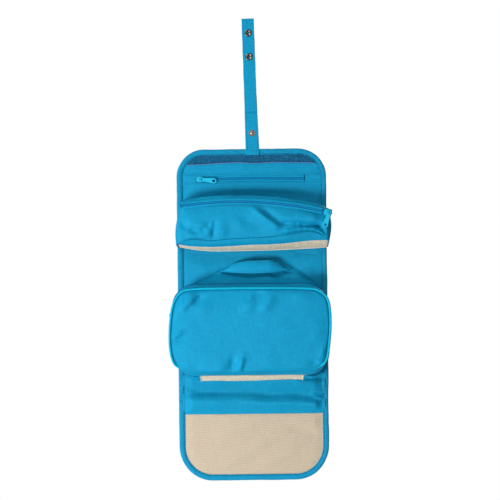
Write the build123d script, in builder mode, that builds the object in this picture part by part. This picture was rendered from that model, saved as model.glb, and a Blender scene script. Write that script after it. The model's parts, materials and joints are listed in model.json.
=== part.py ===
from build123d import *

import os
from math import asin, cos, degrees, radians, sin, sqrt

# Hanging toiletry bag, opened out flat and hanging from its snap strap.
#
# Frame: +X to the right as seen from the open side, +Z up, the open side of the bag faces -Y.
# The origin is the middle of the strap's fold line, where the strap lies over a hook or rail.
# Every layer of a panel is a flat sheet between two Y values, so a layer is a sketch on an XZ plane
# at its back face, extruded forwards. The bag is a chain of panels joined at fold lines:
# top section - mid section - spine - flap, with a swinging pouch on the top section and a zipped box
# pouch on the mid section.

# ---------------------------------------------------------------- driving dimensions (mm)
BODY_WIDTH = 246.0
TOP_EDGE = -88.0  # upper edge of the body, below the strap's fold line
FOLD_MID = -268.0  # fold line between the top and mid sections
FOLD_SPINE = -469.5  # fold line between the mid section and the spine
FOLD_FLAP = -523.0  # fold line between the spine and the flap
BOTTOM_EDGE = -632.0
CORNER_TOP = 46.0
CORNER_BOTTOM = 56.0
FOLD_GAP = 0.3  # each panel stops this far from its fold line

# a panel's layers, front to back
BINDING_FRONT = 1.2
LINING_FRONT = 2.0
LINING_BACK = 2.6
PADDING_FRONT = 3.2
PADDING_BACK = 5.0
SHELL_BACK = 5.8  # at the rim, under the binding
BINDING_BACK = 6.6
FIELD_BACK = 6.9  # inside the binding, where the foam fills the shell out
PLY = 0.8
BINDING_WIDTH = 10.0
FIELD_INSET = 11.0
LINING_INSET = 2.0  # panel layers stop this far inside the binding's edge

# strap and snaps
STRAP_LEAN = -1.5  # degrees about Y: the strap is sewn on slightly askew
STRAP_WIDTH = 20.3
STRAP_LOWER_WIDTH = 21.5
STRAP_TOP = 125.0
STRAP_BOTTOM = -97.0
STRAP_GAP = 0.4
STRAP_FRONT = -1.6
STRAP_MIDDLE = -0.4
STRAP_BACK = 0.8
TAIL_BELOW = -28.0  # the upper strap's tail is sewn over the lower strap down to here
SNAP_PITCH = 62.5  # stud below the fold, first socket as far above it
SNAP_FAR = 101.4
SOCKET_RADIUS = 5.7
SOCKET_HEIGHT = 2.2
SOCKET_HOLE = 2.4
SOCKET_RIM = 0.8  # height of the socket's straight rim, below its dome
SOCKET_CROWN = 1.5  # how far inside the rim the dome is highest
SOCKET_STEP = 0.5  # depth and width of the step round its hole
STUD_RADIUS = 5.3
STUD_FLANGE = 0.8
STUD_NUB_RADIUS = 2.0
STUD_NUB = 2.0
CAP_HEIGHT = 1.1
CAP_ROUND = 0.7
STUD_ROUND = 0.6

# zips, in a local frame: x along the zip, y across it, z out of the fabric
TAPE_HALF = 0.3  # half the tape's thickness
CENTRE_GAP = 0.7  # from the zip's centre line to each tape
COIL_EDGE = 2.5
COIL_HEIGHT = 1.5
TAPE_EDGE = 6.0
HEM_EDGE = 5.0
WING_HALF = 4.7
WING_LENGTH = 11.0
WING_LOW = 1.8
WING_HIGH = 3.0
REAR_LOW = -1.8
REAR_HIGH = -0.6
WING_CORNER = 0.9
WING_MOUTH = 0.72  # the wings' width at the end where the coils part, as a share of the widest
WING_TAIL = 0.86  # and at the other end
SLIDER_POST_HALF = 1.6
FLANGE_OUT = 3.75  # the side flanges, from the zip's centre line
FLANGE_WIDTH = 0.9
FLANGE_SHARE = 0.55  # of the wings' length
FLANGE_GAP = 0.3  # above the tape
BRIDGE_REAR = -3.9
BRIDGE_FRONT = 3.2
BRIDGE_BEVEL = 0.8
BRIDGE_SLOT = 4.0
BRIDGE_HALF = 0.8
BRIDGE_PLAY = 0.25  # above the puller's ring
POST_X = 2.6
PULLER_LOW = 3.25
PULLER_HIGH = 4.65
BRIDGE_TOP = 5.9
RING_OUTER = 3.7
RING_INNER = 2.2
PULLER_LENGTH = 25.0
PULLER_HALF = 4.5
PULLER_HOLE = 2.3
PULLER_NECK = 2.6  # half the puller's width at its ring
PULLER_BEVEL = 0.3

# flat zip pocket in the top section
TOP_ZIP_Z = -137.5
TOP_ZIP_LEFT = -92.0
TOP_ZIP_RIGHT = 88.0
ZIP_ROW_HALF = 6.5
TOP_SLIDER_X = -84.6
LOOP_TAPE_LOW = -113.5
LOOP_TAPE_PLY = 0.7
POCKET_MARGIN = 15.0
POCKET_LOW = FOLD_MID + 8.0
POCKET_CORNER = 8.0

# swinging pouch: its zip follows an arc about this centre, in the XZ plane
ARC_X = -29.0
ARC_Z = -797.3
ARC_R = 621.0
POUCH_HALF = 124.5
POUCH_ZIP_Y = -35.0
POUCH_BACK_FRONT = -0.2
POUCH_BACK = 0.6
POUCH_FRONT = POUCH_ZIP_Y - TAPE_HALF - PLY
POUCH_FRONT_LOW = -236.0
POUCH_BACK_LOW = -249.0
POUCH_CROWN = 10.0  # the top gusset stands this far outside the zip's arc
POUCH_SIDE_FRONT = -32.5
MOUTH_CLEARANCE = 0.3  # between the front, which opens, and the sides and base
MOUTH_Y = -25.3  # seam in the underside where the front wall hinges open
POUCH_SLIDER_X = 121.5
POUCH_SPLIT_X = 115.0  # beyond this the zip's end stays with the front wall
POUCH_TAIL_X = 129.0
POUCH_HANG_Z = -165.8
HANGER_WIDTH = 6.0
POUCH_PULLER_TURN = 108.0  # how far clockwise of level the puller hangs
TOP_PULLER_TURN = 7.0

# zipped box pouch: outlines at the panel, at the zip and at the front face
BACK_OUTLINE = {"half": 112.0, "low": -463.5, "high": -289.0, "radius": 55.0}
ZIP_OUTLINE = {"half": 129.0, "low": -459.0, "high": -306.0, "radius": 42.0}
FACE_OUTLINE = {"half": 121.8, "low": -450.8, "high": -318.8, "radius": 35.5}
GUSSET_FRONT = -22.0
BOX_ZIP_Y = -29.0
LID_GUSSET_BACK = -36.0
LID_BACK = -43.8
LID_FRONT = -45.0
WALL = 1.3
PIPING_OUT = 3.3
PIPING_FRONT = -46.4
BASE_LEFT = -85.0
BASE_RIGHT = 82.0
BASE_BLOCK_HEIGHT = 26.0  # more than the wall's underside slopes, less than its corners
ZIP_END_X = 86.0
LID_SLIDER_Z = -358.0
HANDLE_X = 5.0
HANDLE_HALF_SPAN = 52.0
HANDLE_RISE = 16.0
HANDLE_PLY = 1.2
HANDLE_HALF_WIDTH = 8.0
HANDLE_Y = -11.0
FOOT = 9.0
TAB = 12.0
HINGE_OPENING = 7.5  # more than the zip stands off its outline
HANDLE_LIFT = 0.1  # between the handle's feet and the wall
PIPING_ROUND = 0.4  # the piping's rounding, as a share of its width

HOOK_TAPE_HALF = 85.0
HOOK_TAPE_LOW = -606.0
HOOK_TAPE_HIGH = -586.0
HOOK_TAPE_PLY = 0.8

os.makedirs("parts", exist_ok=True)


def layer(back):
    """The plane of a sheet whose back face is at y = back; extruding it comes forwards."""
    return Plane.XZ.offset(-back)


def keep(piece, name):
    """Labels a finished piece and writes its STEP file."""
    piece.part.label = name
    export_step(piece.part, f"parts/{name}.step")
    print(name, round(piece.part.volume, 1), "mm3")


# ---------------------------------------------------------------- panel outlines
def top_outline(inset):
    """The top section's outline: square at the fold line, rounded at its upper corners."""
    low, high = FOLD_MID + FOLD_GAP, TOP_EDGE - inset
    with BuildSketch() as outline:
        with Locations((0, (low + high) / 2)):
            Rectangle(BODY_WIDTH - 2 * inset, high - low)
        fillet(outline.vertices().group_by(Axis.Y)[-1], CORNER_TOP - inset)
    return outline.sketch


def flap_outline(inset):
    """The flap's outline: square at the fold line, rounded at its lower corners."""
    low, high = BOTTOM_EDGE + inset, FOLD_FLAP - FOLD_GAP
    with BuildSketch() as outline:
        with Locations((0, (low + high) / 2)):
            Rectangle(BODY_WIDTH - 2 * inset, high - low)
        fillet(outline.vertices().group_by(Axis.Y)[0], CORNER_BOTTOM - inset)
    return outline.sketch


def strip_outline(low, high, inset):
    """A straight panel between two fold lines."""
    with BuildSketch() as outline:
        with Locations((0, (low + high) / 2)):
            Rectangle(BODY_WIDTH - 2 * inset, high - low - 2 * FOLD_GAP)
    return outline.sketch


def sheet(outline, front, back):
    """A flat layer of a panel."""
    with BuildPart() as made:
        with BuildSketch(layer(back)):
            add(outline)
        extrude(amount=back - front)
    return made


def shell(outline):
    """A panel's outer fabric: flat at its rim and filled out by the foam inside the binding."""
    with BuildPart() as made:
        with BuildSketch(layer(SHELL_BACK)):
            add(outline(PLY))
        extrude(amount=PLY)
        with BuildSketch(layer(FIELD_BACK)):
            add(outline(FIELD_INSET))
        extrude(amount=FIELD_BACK - PADDING_BACK)
        with BuildSketch(layer(FIELD_BACK - PLY)):
            add(outline(FIELD_INSET + PLY))
        extrude(amount=FIELD_BACK - PLY - PADDING_BACK, mode=Mode.SUBTRACT)
    return made


def padding(outline, front):
    """A panel's foam, which fills the shell."""
    with BuildPart() as made:
        with BuildSketch(layer(PADDING_BACK)):
            add(outline(LINING_INSET))
        extrude(amount=PADDING_BACK - front)
        with BuildSketch(layer(FIELD_BACK - PLY)):
            add(outline(FIELD_INSET + PLY))
        extrude(amount=FIELD_BACK - PLY - PADDING_BACK)
    return made


def binding(outer, inner, slot):
    """A tape folded over a panel's edge: a front ply, a back ply and the fold joining them."""
    with BuildPart() as made:
        with BuildSketch(layer(BINDING_BACK)):
            add(outer)
            add(inner, mode=Mode.SUBTRACT)
        extrude(amount=BINDING_BACK - BINDING_FRONT)
        with BuildSketch(layer(SHELL_BACK)):
            add(slot)
        extrude(amount=SHELL_BACK - LINING_FRONT, mode=Mode.SUBTRACT)
    return made


def straight_panel(low, high, name):
    """A panel between two fold lines: shell, foam, lining and the bindings on its two long edges."""

    def outline(inset):
        return strip_outline(low, high, inset)

    keep(shell(outline), f"{name}_shell")
    keep(padding(outline, LINING_BACK), f"{name}_padding")
    keep(sheet(outline(PLY), LINING_FRONT, LINING_BACK), f"{name}_lining")
    past = 2 * FOLD_GAP
    inner = strip_outline(low - past, high + past, BINDING_WIDTH)
    slot = strip_outline(low - past, high + past, PLY)
    keep(binding(outline(0), inner, slot), f"{name}_bindings")


# ---------------------------------------------------------------- zip hardware
def zip_slider(place, flanges=(1, -1)):
    """A slider: front and rear wings joined by a post between the tapes, and a bridge for the puller."""
    with BuildPart() as slider:
        for low, high in ((WING_LOW, WING_HIGH), (REAR_LOW, REAR_HIGH)):
            with BuildSketch(place.offset(low)):
                with BuildLine():
                    Polyline(
                        (-WING_LENGTH / 2, -WING_HALF * WING_MOUTH),
                        (-WING_LENGTH / 6, -WING_HALF),
                        (WING_LENGTH / 2, -WING_HALF * WING_TAIL),
                        (WING_LENGTH / 2, WING_HALF * WING_TAIL),
                        (-WING_LENGTH / 6, WING_HALF),
                        (-WING_LENGTH / 2, WING_HALF * WING_MOUTH),
                        close=True,
                    )
                make_face()
            extrude(amount=high - low)
        fillet(slider.edges().filter_by(Axis(place.origin, place.z_dir)), WING_CORNER)
        with BuildSketch(place.offset(REAR_HIGH)):
            with Locations((-WING_LENGTH / 4, 0)):
                Ellipse(SLIDER_POST_HALF, CENTRE_GAP - FOLD_GAP / 2)
        extrude(amount=WING_LOW - REAR_HIGH)
        for side in flanges:
            with BuildSketch(place.offset(TAPE_HALF + FLANGE_GAP)):
                with Locations((0.5, side * FLANGE_OUT)):
                    Rectangle(WING_LENGTH * FLANGE_SHARE, FLANGE_WIDTH)
            extrude(amount=WING_LOW - TAPE_HALF - FLANGE_GAP)
        across = Plane(origin=place.origin, x_dir=place.x_dir, z_dir=-place.y_dir)
        with BuildSketch(across):
            with BuildLine():
                Polyline(
                    (BRIDGE_REAR, WING_HIGH),
                    (-BRIDGE_FRONT, BRIDGE_TOP - BRIDGE_BEVEL),
                    (BRIDGE_BEVEL - BRIDGE_FRONT, BRIDGE_TOP),
                    (BRIDGE_FRONT - BRIDGE_BEVEL, BRIDGE_TOP),
                    (BRIDGE_FRONT, BRIDGE_TOP - BRIDGE_BEVEL),
                    (BRIDGE_FRONT, WING_HIGH),
                    close=True,
                )
            make_face()
            slot_top = PULLER_HIGH + BRIDGE_PLAY
            with Locations((0, (WING_HIGH + slot_top) / 2)):
                Rectangle(BRIDGE_SLOT, slot_top - WING_HIGH, mode=Mode.SUBTRACT)
        extrude(amount=BRIDGE_HALF, both=True)
    return slider


def zip_puller(place, angle):
    """A flat puller: its ring holds the bridge's post, and it points at angle in the zip's plane."""
    head = Plane(
        origin=place.from_local_coords((POST_X, 0, PULLER_LOW)),
        x_dir=place.x_dir * cos(radians(angle)) + place.y_dir * sin(radians(angle)),
        z_dir=place.z_dir,
    )
    far = PULLER_LENGTH - PULLER_HALF
    with BuildPart() as puller:
        with BuildSketch(head):
            Circle(RING_OUTER)
            with BuildLine():
                Polyline(
                    (0, -PULLER_NECK), (far, -PULLER_HALF), (far, PULLER_HALF), (0, PULLER_NECK),
                    close=True,
                )
            make_face()
            with Locations((far, 0)):
                Circle(PULLER_HALF)
                Circle(PULLER_HOLE, mode=Mode.SUBTRACT)
            Circle(RING_INNER, mode=Mode.SUBTRACT)
        extrude(amount=PULLER_HIGH - PULLER_LOW)
        faces = puller.faces().filter_by(GeomType.PLANE).sort_by(Axis(place.origin, place.z_dir))
        chamfer(faces[-1].outer_wire().edges(), PULLER_BEVEL)
    return puller


# ---------------------------------------------------------------- top section
def top_panel():
    """Shell, padding, two lining pieces either side of the zip row, pocket bag and binding."""
    keep(shell(top_outline), "top_shell")
    with BuildPart() as foam:
        add(padding(top_outline, PADDING_FRONT).part)
        with BuildSketch(layer(PADDING_BACK)):
            with Locations(((TOP_ZIP_LEFT + TOP_ZIP_RIGHT) / 2, TOP_ZIP_Z)):
                Rectangle(TOP_ZIP_RIGHT - TOP_ZIP_LEFT, 2 * ZIP_ROW_HALF)
        extrude(amount=PADDING_BACK - PADDING_FRONT, mode=Mode.SUBTRACT)
    keep(foam, "top_padding")

    with BuildPart() as lining:
        with BuildSketch(layer(LINING_BACK)):
            add(top_outline(PLY))
            with Locations((0, TOP_ZIP_Z)):
                Rectangle(BODY_WIDTH, 2 * ZIP_ROW_HALF, mode=Mode.SUBTRACT)
        extrude(amount=LINING_BACK - LINING_FRONT)
    keep(lining, "top_lining")

    pocket_high = TOP_ZIP_Z - ZIP_ROW_HALF
    with BuildPart() as bag:
        with BuildSketch(layer(PADDING_FRONT)) as outline:
            with Locations((0, (POCKET_LOW + pocket_high) / 2)):
                Rectangle(BODY_WIDTH - 2 * POCKET_MARGIN, pocket_high - POCKET_LOW)
            fillet(outline.vertices(), POCKET_CORNER)
        extrude(amount=PADDING_FRONT - LINING_BACK)
    keep(bag, "top_pocket_bag")

    keep(binding(top_outline(0), top_outline(BINDING_WIDTH), top_outline(PLY)), "top_binding")

    with BuildPart() as loop_tape:
        with BuildSketch(layer(LINING_FRONT)):
            add(top_outline(BINDING_WIDTH + 0.2))
            with Locations((0, (LOOP_TAPE_LOW + TOP_EDGE) / 2)):
                Rectangle(BODY_WIDTH, TOP_EDGE - LOOP_TAPE_LOW, mode=Mode.INTERSECT)
        extrude(amount=LOOP_TAPE_PLY)
    keep(loop_tape, "loop_tape")

    with BuildPart() as tabs:
        inner = BODY_WIDTH / 2 - BINDING_WIDTH
        for low, high in ((-inner, TOP_ZIP_LEFT), (TOP_ZIP_RIGHT, inner)):
            with BuildSketch(layer(LINING_BACK)):
                with Locations(((low + high) / 2, TOP_ZIP_Z)):
                    Rectangle(high - low, 2 * ZIP_ROW_HALF)
            extrude(amount=LINING_BACK - LINING_FRONT)
    keep(tabs, "top_zip_tabs")

    with BuildPart() as hanger:
        with BuildSketch(layer(LINING_FRONT)):
            with Locations((0, POUCH_HANG_Z + HANGER_WIDTH / 2 + FOLD_GAP)):
                Rectangle(BODY_WIDTH - 2 * FIELD_INSET, HANGER_WIDTH)
        extrude(amount=LINING_FRONT - PLY)
    keep(hanger, "pouch_hanger_tape")


def straight_tape(centre_z, left, right, side):
    """One straight half of a zip tape in the lining's plane; side is +1 above the coil, -1 below."""
    low, high = sorted((centre_z + side * CENTRE_GAP, centre_z + side * ZIP_ROW_HALF))
    with BuildPart() as tape:
        with BuildSketch(layer(LINING_BACK)):
            with Locations(((left + right) / 2, (low + high) / 2)):
                Rectangle(right - left, high - low)
        extrude(amount=LINING_BACK - LINING_FRONT)
    return tape


def straight_coil(centre_z, left, right, side):
    """One straight half of a zip's coil, on the front of its tape."""
    low, high = sorted((centre_z + side * CENTRE_GAP, centre_z + side * COIL_EDGE))
    with BuildPart() as coil:
        with BuildSketch(layer(LINING_FRONT)):
            with Locations(((left + right) / 2, (low + high) / 2)):
                Rectangle(right - left, high - low)
        extrude(amount=COIL_HEIGHT - TAPE_HALF)
    return coil


def top_zip():
    """The flat pocket's zip, with its slider near the left end."""
    for name, side in (("upper", 1), ("lower", -1)):
        keep(straight_tape(TOP_ZIP_Z, TOP_ZIP_LEFT, TOP_ZIP_RIGHT, side), f"top_tape_{name}")
        keep(
            straight_coil(TOP_ZIP_Z, TOP_ZIP_LEFT + 1, TOP_ZIP_RIGHT - 1, side), f"top_coil_{name}"
        )
    tape_y = (LINING_FRONT + LINING_BACK) / 2
    place = Plane(origin=(TOP_SLIDER_X, tape_y, TOP_ZIP_Z), x_dir=(1, 0, 0), z_dir=(0, -1, 0))
    keep(zip_slider(place), "top_slider")
    keep(zip_puller(place, -TOP_PULLER_TURN), "top_puller")


# ---------------------------------------------------------------- strap
def strap_ply(width, low, high, front, back):
    """A flat length of strap."""
    with BuildPart() as ply:
        with BuildSketch(layer(back)):
            with Locations((0, (low + high) / 2)):
                Rectangle(width, high - low)
        extrude(amount=back - front)
    return ply


def snap_socket(z):
    """The female half's section: a domed rim with a stepped hole that takes the stud."""
    top = STRAP_FRONT - SOCKET_HEIGHT
    with BuildSketch(Plane.YZ) as profile:
        with BuildLine():
            Polyline(
                (STRAP_FRONT, z + SOCKET_HOLE),
                (STRAP_FRONT, z + SOCKET_RADIUS),
                (STRAP_FRONT - SOCKET_RIM, z + SOCKET_RADIUS),
            )
            ThreePointArc(
                (STRAP_FRONT - SOCKET_RIM, z + SOCKET_RADIUS),
                (top + 0.2 * SOCKET_CROWN, z + SOCKET_RADIUS - 0.4 * SOCKET_CROWN),
                (top, z + SOCKET_RADIUS - SOCKET_CROWN),
            )
            Polyline(
                (top, z + SOCKET_RADIUS - SOCKET_CROWN),
                (top + SOCKET_STEP, z + SOCKET_HOLE + SOCKET_STEP),
                (top + SOCKET_STEP, z + SOCKET_HOLE),
                (STRAP_FRONT, z + SOCKET_HOLE),
            )
        make_face()
    return profile.sketch


def askew(piece):
    """A piece of the strap, turned about the origin to the strap's lean."""
    with BuildPart() as turned:
        add(piece.part.rotate(Axis.Y, STRAP_LEAN))
    return turned


def strap():
    """Two lengths of folded strap, sewn together below the fold line, and the press studs on them."""
    lower = strap_ply(
        STRAP_LOWER_WIDTH, STRAP_BOTTOM, -STRAP_GAP, STRAP_MIDDLE, STRAP_BACK
    )
    keep(askew(lower), "strap_lower")
    tail = strap_ply(STRAP_WIDTH, TAIL_BELOW, -STRAP_GAP, STRAP_FRONT, STRAP_MIDDLE)
    keep(askew(tail), "strap_upper_tail")
    upper = strap_ply(STRAP_WIDTH, STRAP_GAP, STRAP_TOP, STRAP_FRONT, STRAP_MIDDLE)
    keep(askew(upper), "strap_upper")

    with BuildPart() as sockets:
        for z in (SNAP_PITCH, SNAP_FAR):
            add(snap_socket(z))
            revolve(axis=Axis((0, 0, z), (0, 1, 0)))
    keep(askew(sockets), "snap_sockets")

    with BuildPart() as caps:
        for z in (SNAP_PITCH, SNAP_FAR):
            with BuildSketch(layer(STRAP_MIDDLE + CAP_HEIGHT)):
                with Locations((0, z)):
                    Circle(SOCKET_RADIUS)
            extrude(amount=CAP_HEIGHT)
        rims = caps.faces().filter_by(Axis.Y).group_by(Axis.Y)[-1]
        fillet(rims.edges(), CAP_ROUND)
    keep(askew(caps), "snap_caps")

    with BuildPart() as stud:
        with BuildSketch(layer(STRAP_MIDDLE)):
            with Locations((0, -SNAP_PITCH)):
                Circle(STUD_RADIUS)
        extrude(amount=STUD_FLANGE)
        with BuildSketch(layer(STRAP_MIDDLE - STUD_FLANGE)):
            with Locations((0, -SNAP_PITCH)):
                Circle(STUD_NUB_RADIUS)
        extrude(amount=STUD_NUB)
        fillet(stud.faces().filter_by(Axis.Y).sort_by(Axis.Y)[0].edges(), STUD_ROUND)
    keep(askew(stud), "snap_stud")

    with BuildPart() as rivet:
        with BuildSketch(layer(STRAP_BACK + CAP_HEIGHT)):
            with Locations((0, -SNAP_PITCH)):
                Circle(STUD_RADIUS)
        extrude(amount=CAP_HEIGHT)
        fillet(rivet.faces().filter_by(Axis.Y).sort_by(Axis.Y)[-1].edges(), CAP_ROUND)
    keep(askew(rivet), "snap_stud_rivet")


# ---------------------------------------------------------------- swinging pouch
def arc_z(x, radius):
    """Height of a circle about the pouch zip's centre at x."""
    return ARC_Z + sqrt(radius**2 - (x - ARC_X) ** 2)


def arc_band(inner, outer, left, right):
    """The sketch between two arcs about the pouch zip's centre, cut off square at left and right."""
    middle = (left + right) / 2
    with BuildSketch() as band:
        with BuildLine():
            ThreePointArc(
                (left, arc_z(left, inner)), (middle, arc_z(middle, inner)), (right, arc_z(right, inner))
            )
            Line((right, arc_z(right, inner)), (right, arc_z(right, outer)))
            ThreePointArc(
                (right, arc_z(right, outer)), (middle, arc_z(middle, outer)), (left, arc_z(left, outer))
            )
            Line((left, arc_z(left, outer)), (left, arc_z(left, inner)))
        make_face()
    return band.sketch


def under_arc(radius, half, low):
    """The sketch from a level line up to an arc, between -half and +half."""
    with BuildSketch() as area:
        with BuildLine():
            ThreePointArc((-half, arc_z(-half, radius)), (0, arc_z(0, radius)), (half, arc_z(half, radius)))
            Polyline(
                (half, arc_z(half, radius)), (half, low), (-half, low), (-half, arc_z(-half, radius))
            )
        make_face()
    return area.sketch


def underside(y):
    """Height of the pouch's sloping underside at depth y."""
    slope = (POUCH_BACK_LOW - POUCH_FRONT_LOW) / (POUCH_BACK_FRONT - POUCH_FRONT)
    return POUCH_FRONT_LOW + slope * (y - POUCH_FRONT)


def floor_strip(front, back, half):
    """A strip of the pouch's sloping underside."""
    with BuildPart() as strip:
        with BuildSketch(Plane.YZ.offset(-half)):
            with BuildLine():
                Polyline(
                    (front, underside(front)),
                    (back, underside(back)),
                    (back, underside(back) + PLY),
                    (front, underside(front) + PLY),
                    close=True,
                )
            make_face()
        extrude(amount=2 * half)
    return strip


def arc_strip(back, front, spans):
    """Bands of the pouch zip, from y = back forwards; each span is inner and outer radius, left, right."""
    with BuildPart() as strip:
        with BuildSketch(layer(back)):
            for span in spans:
                add(arc_band(*span))
        extrude(amount=back - front)
    return strip


def swinging_pouch():
    """Back, crowned top, front, beige base and sides."""
    face = POUCH_FRONT + PLY
    crown = ARC_R + POUCH_CROWN

    with BuildPart() as back:
        with BuildSketch(layer(POUCH_BACK)):
            add(under_arc(crown, POUCH_HALF + PLY, POUCH_BACK_LOW))
        extrude(amount=POUCH_BACK - POUCH_BACK_FRONT)
    keep(back, "pouch_back")

    with BuildPart() as top:
        with BuildSketch(layer(face)):
            add(arc_band(ARC_R + HEM_EDGE, crown, -POUCH_HALF, POUCH_HALF))
        extrude(amount=PLY)
        with BuildSketch(layer(POUCH_BACK_FRONT)):
            add(arc_band(crown - PLY, crown, -POUCH_HALF, POUCH_HALF))
        extrude(amount=POUCH_BACK_FRONT - face)
    keep(top, "pouch_top")

    mouth_half = POUCH_HALF - MOUTH_CLEARANCE
    with BuildPart() as front:
        with BuildSketch(layer(face)):
            add(under_arc(ARC_R - HEM_EDGE, mouth_half, POUCH_FRONT_LOW))
        extrude(amount=PLY)
        add(floor_strip(POUCH_FRONT, MOUTH_Y, mouth_half).part)
    keep(front, "pouch_front")

    keep(floor_strip(MOUTH_Y + MOUTH_CLEARANCE, POUCH_BACK_FRONT, POUCH_HALF), "pouch_base")

    with BuildPart() as sides:
        for inner, outer in ((-POUCH_HALF, -POUCH_HALF - PLY), (POUCH_HALF, POUCH_HALF + PLY)):
            top_z = arc_z(inner, crown) - PLY
            with BuildSketch(Plane.YZ.offset(min(inner, outer))):
                with BuildLine():
                    Polyline(
                        (POUCH_BACK_FRONT, top_z),
                        (POUCH_SIDE_FRONT, top_z),
                        (POUCH_SIDE_FRONT, underside(POUCH_SIDE_FRONT)),
                        (POUCH_BACK_FRONT, POUCH_BACK_LOW),
                        close=True,
                    )
                make_face()
            extrude(amount=PLY)
    keep(sides, "pouch_sides")


def pouch_zip():
    """The arched zip. Its two halves part where the pouch opens, and its end piece joins them."""
    tape_front = POUCH_ZIP_Y - TAPE_HALF
    tape_back = POUCH_ZIP_Y + TAPE_HALF
    coil_front = POUCH_ZIP_Y - COIL_HEIGHT
    left = 2 - POUCH_HALF
    tapes = {}
    coils = {}
    for name, side in (("upper", 1), ("lower", -1)):
        tapes[name] = sorted((ARC_R + side * CENTRE_GAP, ARC_R + side * TAPE_EDGE))
        coils[name] = sorted((ARC_R + side * CENTRE_GAP, ARC_R + side * COIL_EDGE))
        tape = arc_strip(tape_back, tape_front, [(*tapes[name], left, POUCH_SPLIT_X)])
        keep(tape, f"pouch_tape_{name}")
        coil = arc_strip(tape_front, coil_front, [(*coils[name], left + 2, POUCH_SPLIT_X)])
        keep(coil, f"pouch_coil_{name}")

    start = POUCH_SPLIT_X + MOUTH_CLEARANCE
    tape_spans = [(*radii, start, POUCH_TAIL_X) for radii in tapes.values()]
    coil_spans = [(*radii, start, POUCH_TAIL_X) for radii in coils.values()]
    with BuildPart() as end:
        add(arc_strip(tape_back, tape_front, tape_spans).part)
        add(arc_strip(tape_front, coil_front, coil_spans).part)
    keep(end, "pouch_zip_end")

    turn = asin((POUCH_SLIDER_X - ARC_X) / ARC_R)
    place = Plane(
        origin=(POUCH_SLIDER_X, POUCH_ZIP_Y, arc_z(POUCH_SLIDER_X, ARC_R)),
        x_dir=(cos(turn), 0, -sin(turn)),
        z_dir=(0, -1, 0),
    )
    keep(zip_slider(place), "pouch_slider")
    keep(zip_puller(place, degrees(turn) - POUCH_PULLER_TURN), "pouch_puller")


# ---------------------------------------------------------------- mid section
def mid_panel():
    """The panel behind the box pouch."""
    straight_panel(FOLD_SPINE, FOLD_MID, "mid")


def box_outline(shape, inset):
    """A rounded rectangle in the XZ plane, inset from one of the box pouch's outlines."""
    low, high = shape["low"] + inset, shape["high"] - inset
    with BuildSketch() as outline:
        with Locations((0, (low + high) / 2)):
            RectangleRounded(2 * (shape["half"] - inset), high - low, shape["radius"] - inset)
    return outline.sketch


def wall_tube(back_shape, back, front_shape, front):
    """A wall of the box pouch: a tube that runs from one outline to another."""
    with BuildPart() as tube:
        for inset, mode in ((-TAPE_HALF, Mode.ADD), (WALL - TAPE_HALF, Mode.SUBTRACT)):
            with BuildSketch(layer(back)):
                add(box_outline(back_shape, inset))
            with BuildSketch(layer(front)):
                add(box_outline(front_shape, inset))
            loft(mode=mode)
    return tube


def zip_ring(out, inset, front, back):
    """A ring on the zip's outline, left open along the bottom where the lid is hinged."""
    with BuildPart() as ring:
        with BuildSketch(layer(back)):
            add(box_outline(ZIP_OUTLINE, -out))
            add(box_outline(ZIP_OUTLINE, inset), mode=Mode.SUBTRACT)
            with Locations((0, ZIP_OUTLINE["low"])):
                Rectangle(2 * ZIP_END_X, 2 * HINGE_OPENING, mode=Mode.SUBTRACT)
        extrude(amount=back - front)
    return ring


def hinge_strip(front, back):
    """A flat strip along the bottom of the zip's outline, where there is no zip."""
    with BuildPart() as strip:
        with BuildSketch(layer(back)):
            with Locations((0, ZIP_OUTLINE["low"])):
                Rectangle(2 * (ZIP_END_X - MOUTH_CLEARANCE), 2 * TAPE_HALF)
        extrude(amount=back - front)
    return strip


def base_block():
    """The block that marks out the beige base in the middle of the wall's underside."""
    size = (BASE_RIGHT - BASE_LEFT, -4 * GUSSET_FRONT, BASE_BLOCK_HEIGHT)
    centre = ((BASE_LEFT + BASE_RIGHT) / 2, 0, BACK_OUTLINE["low"])
    return Pos(*centre) * Box(*size)


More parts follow.
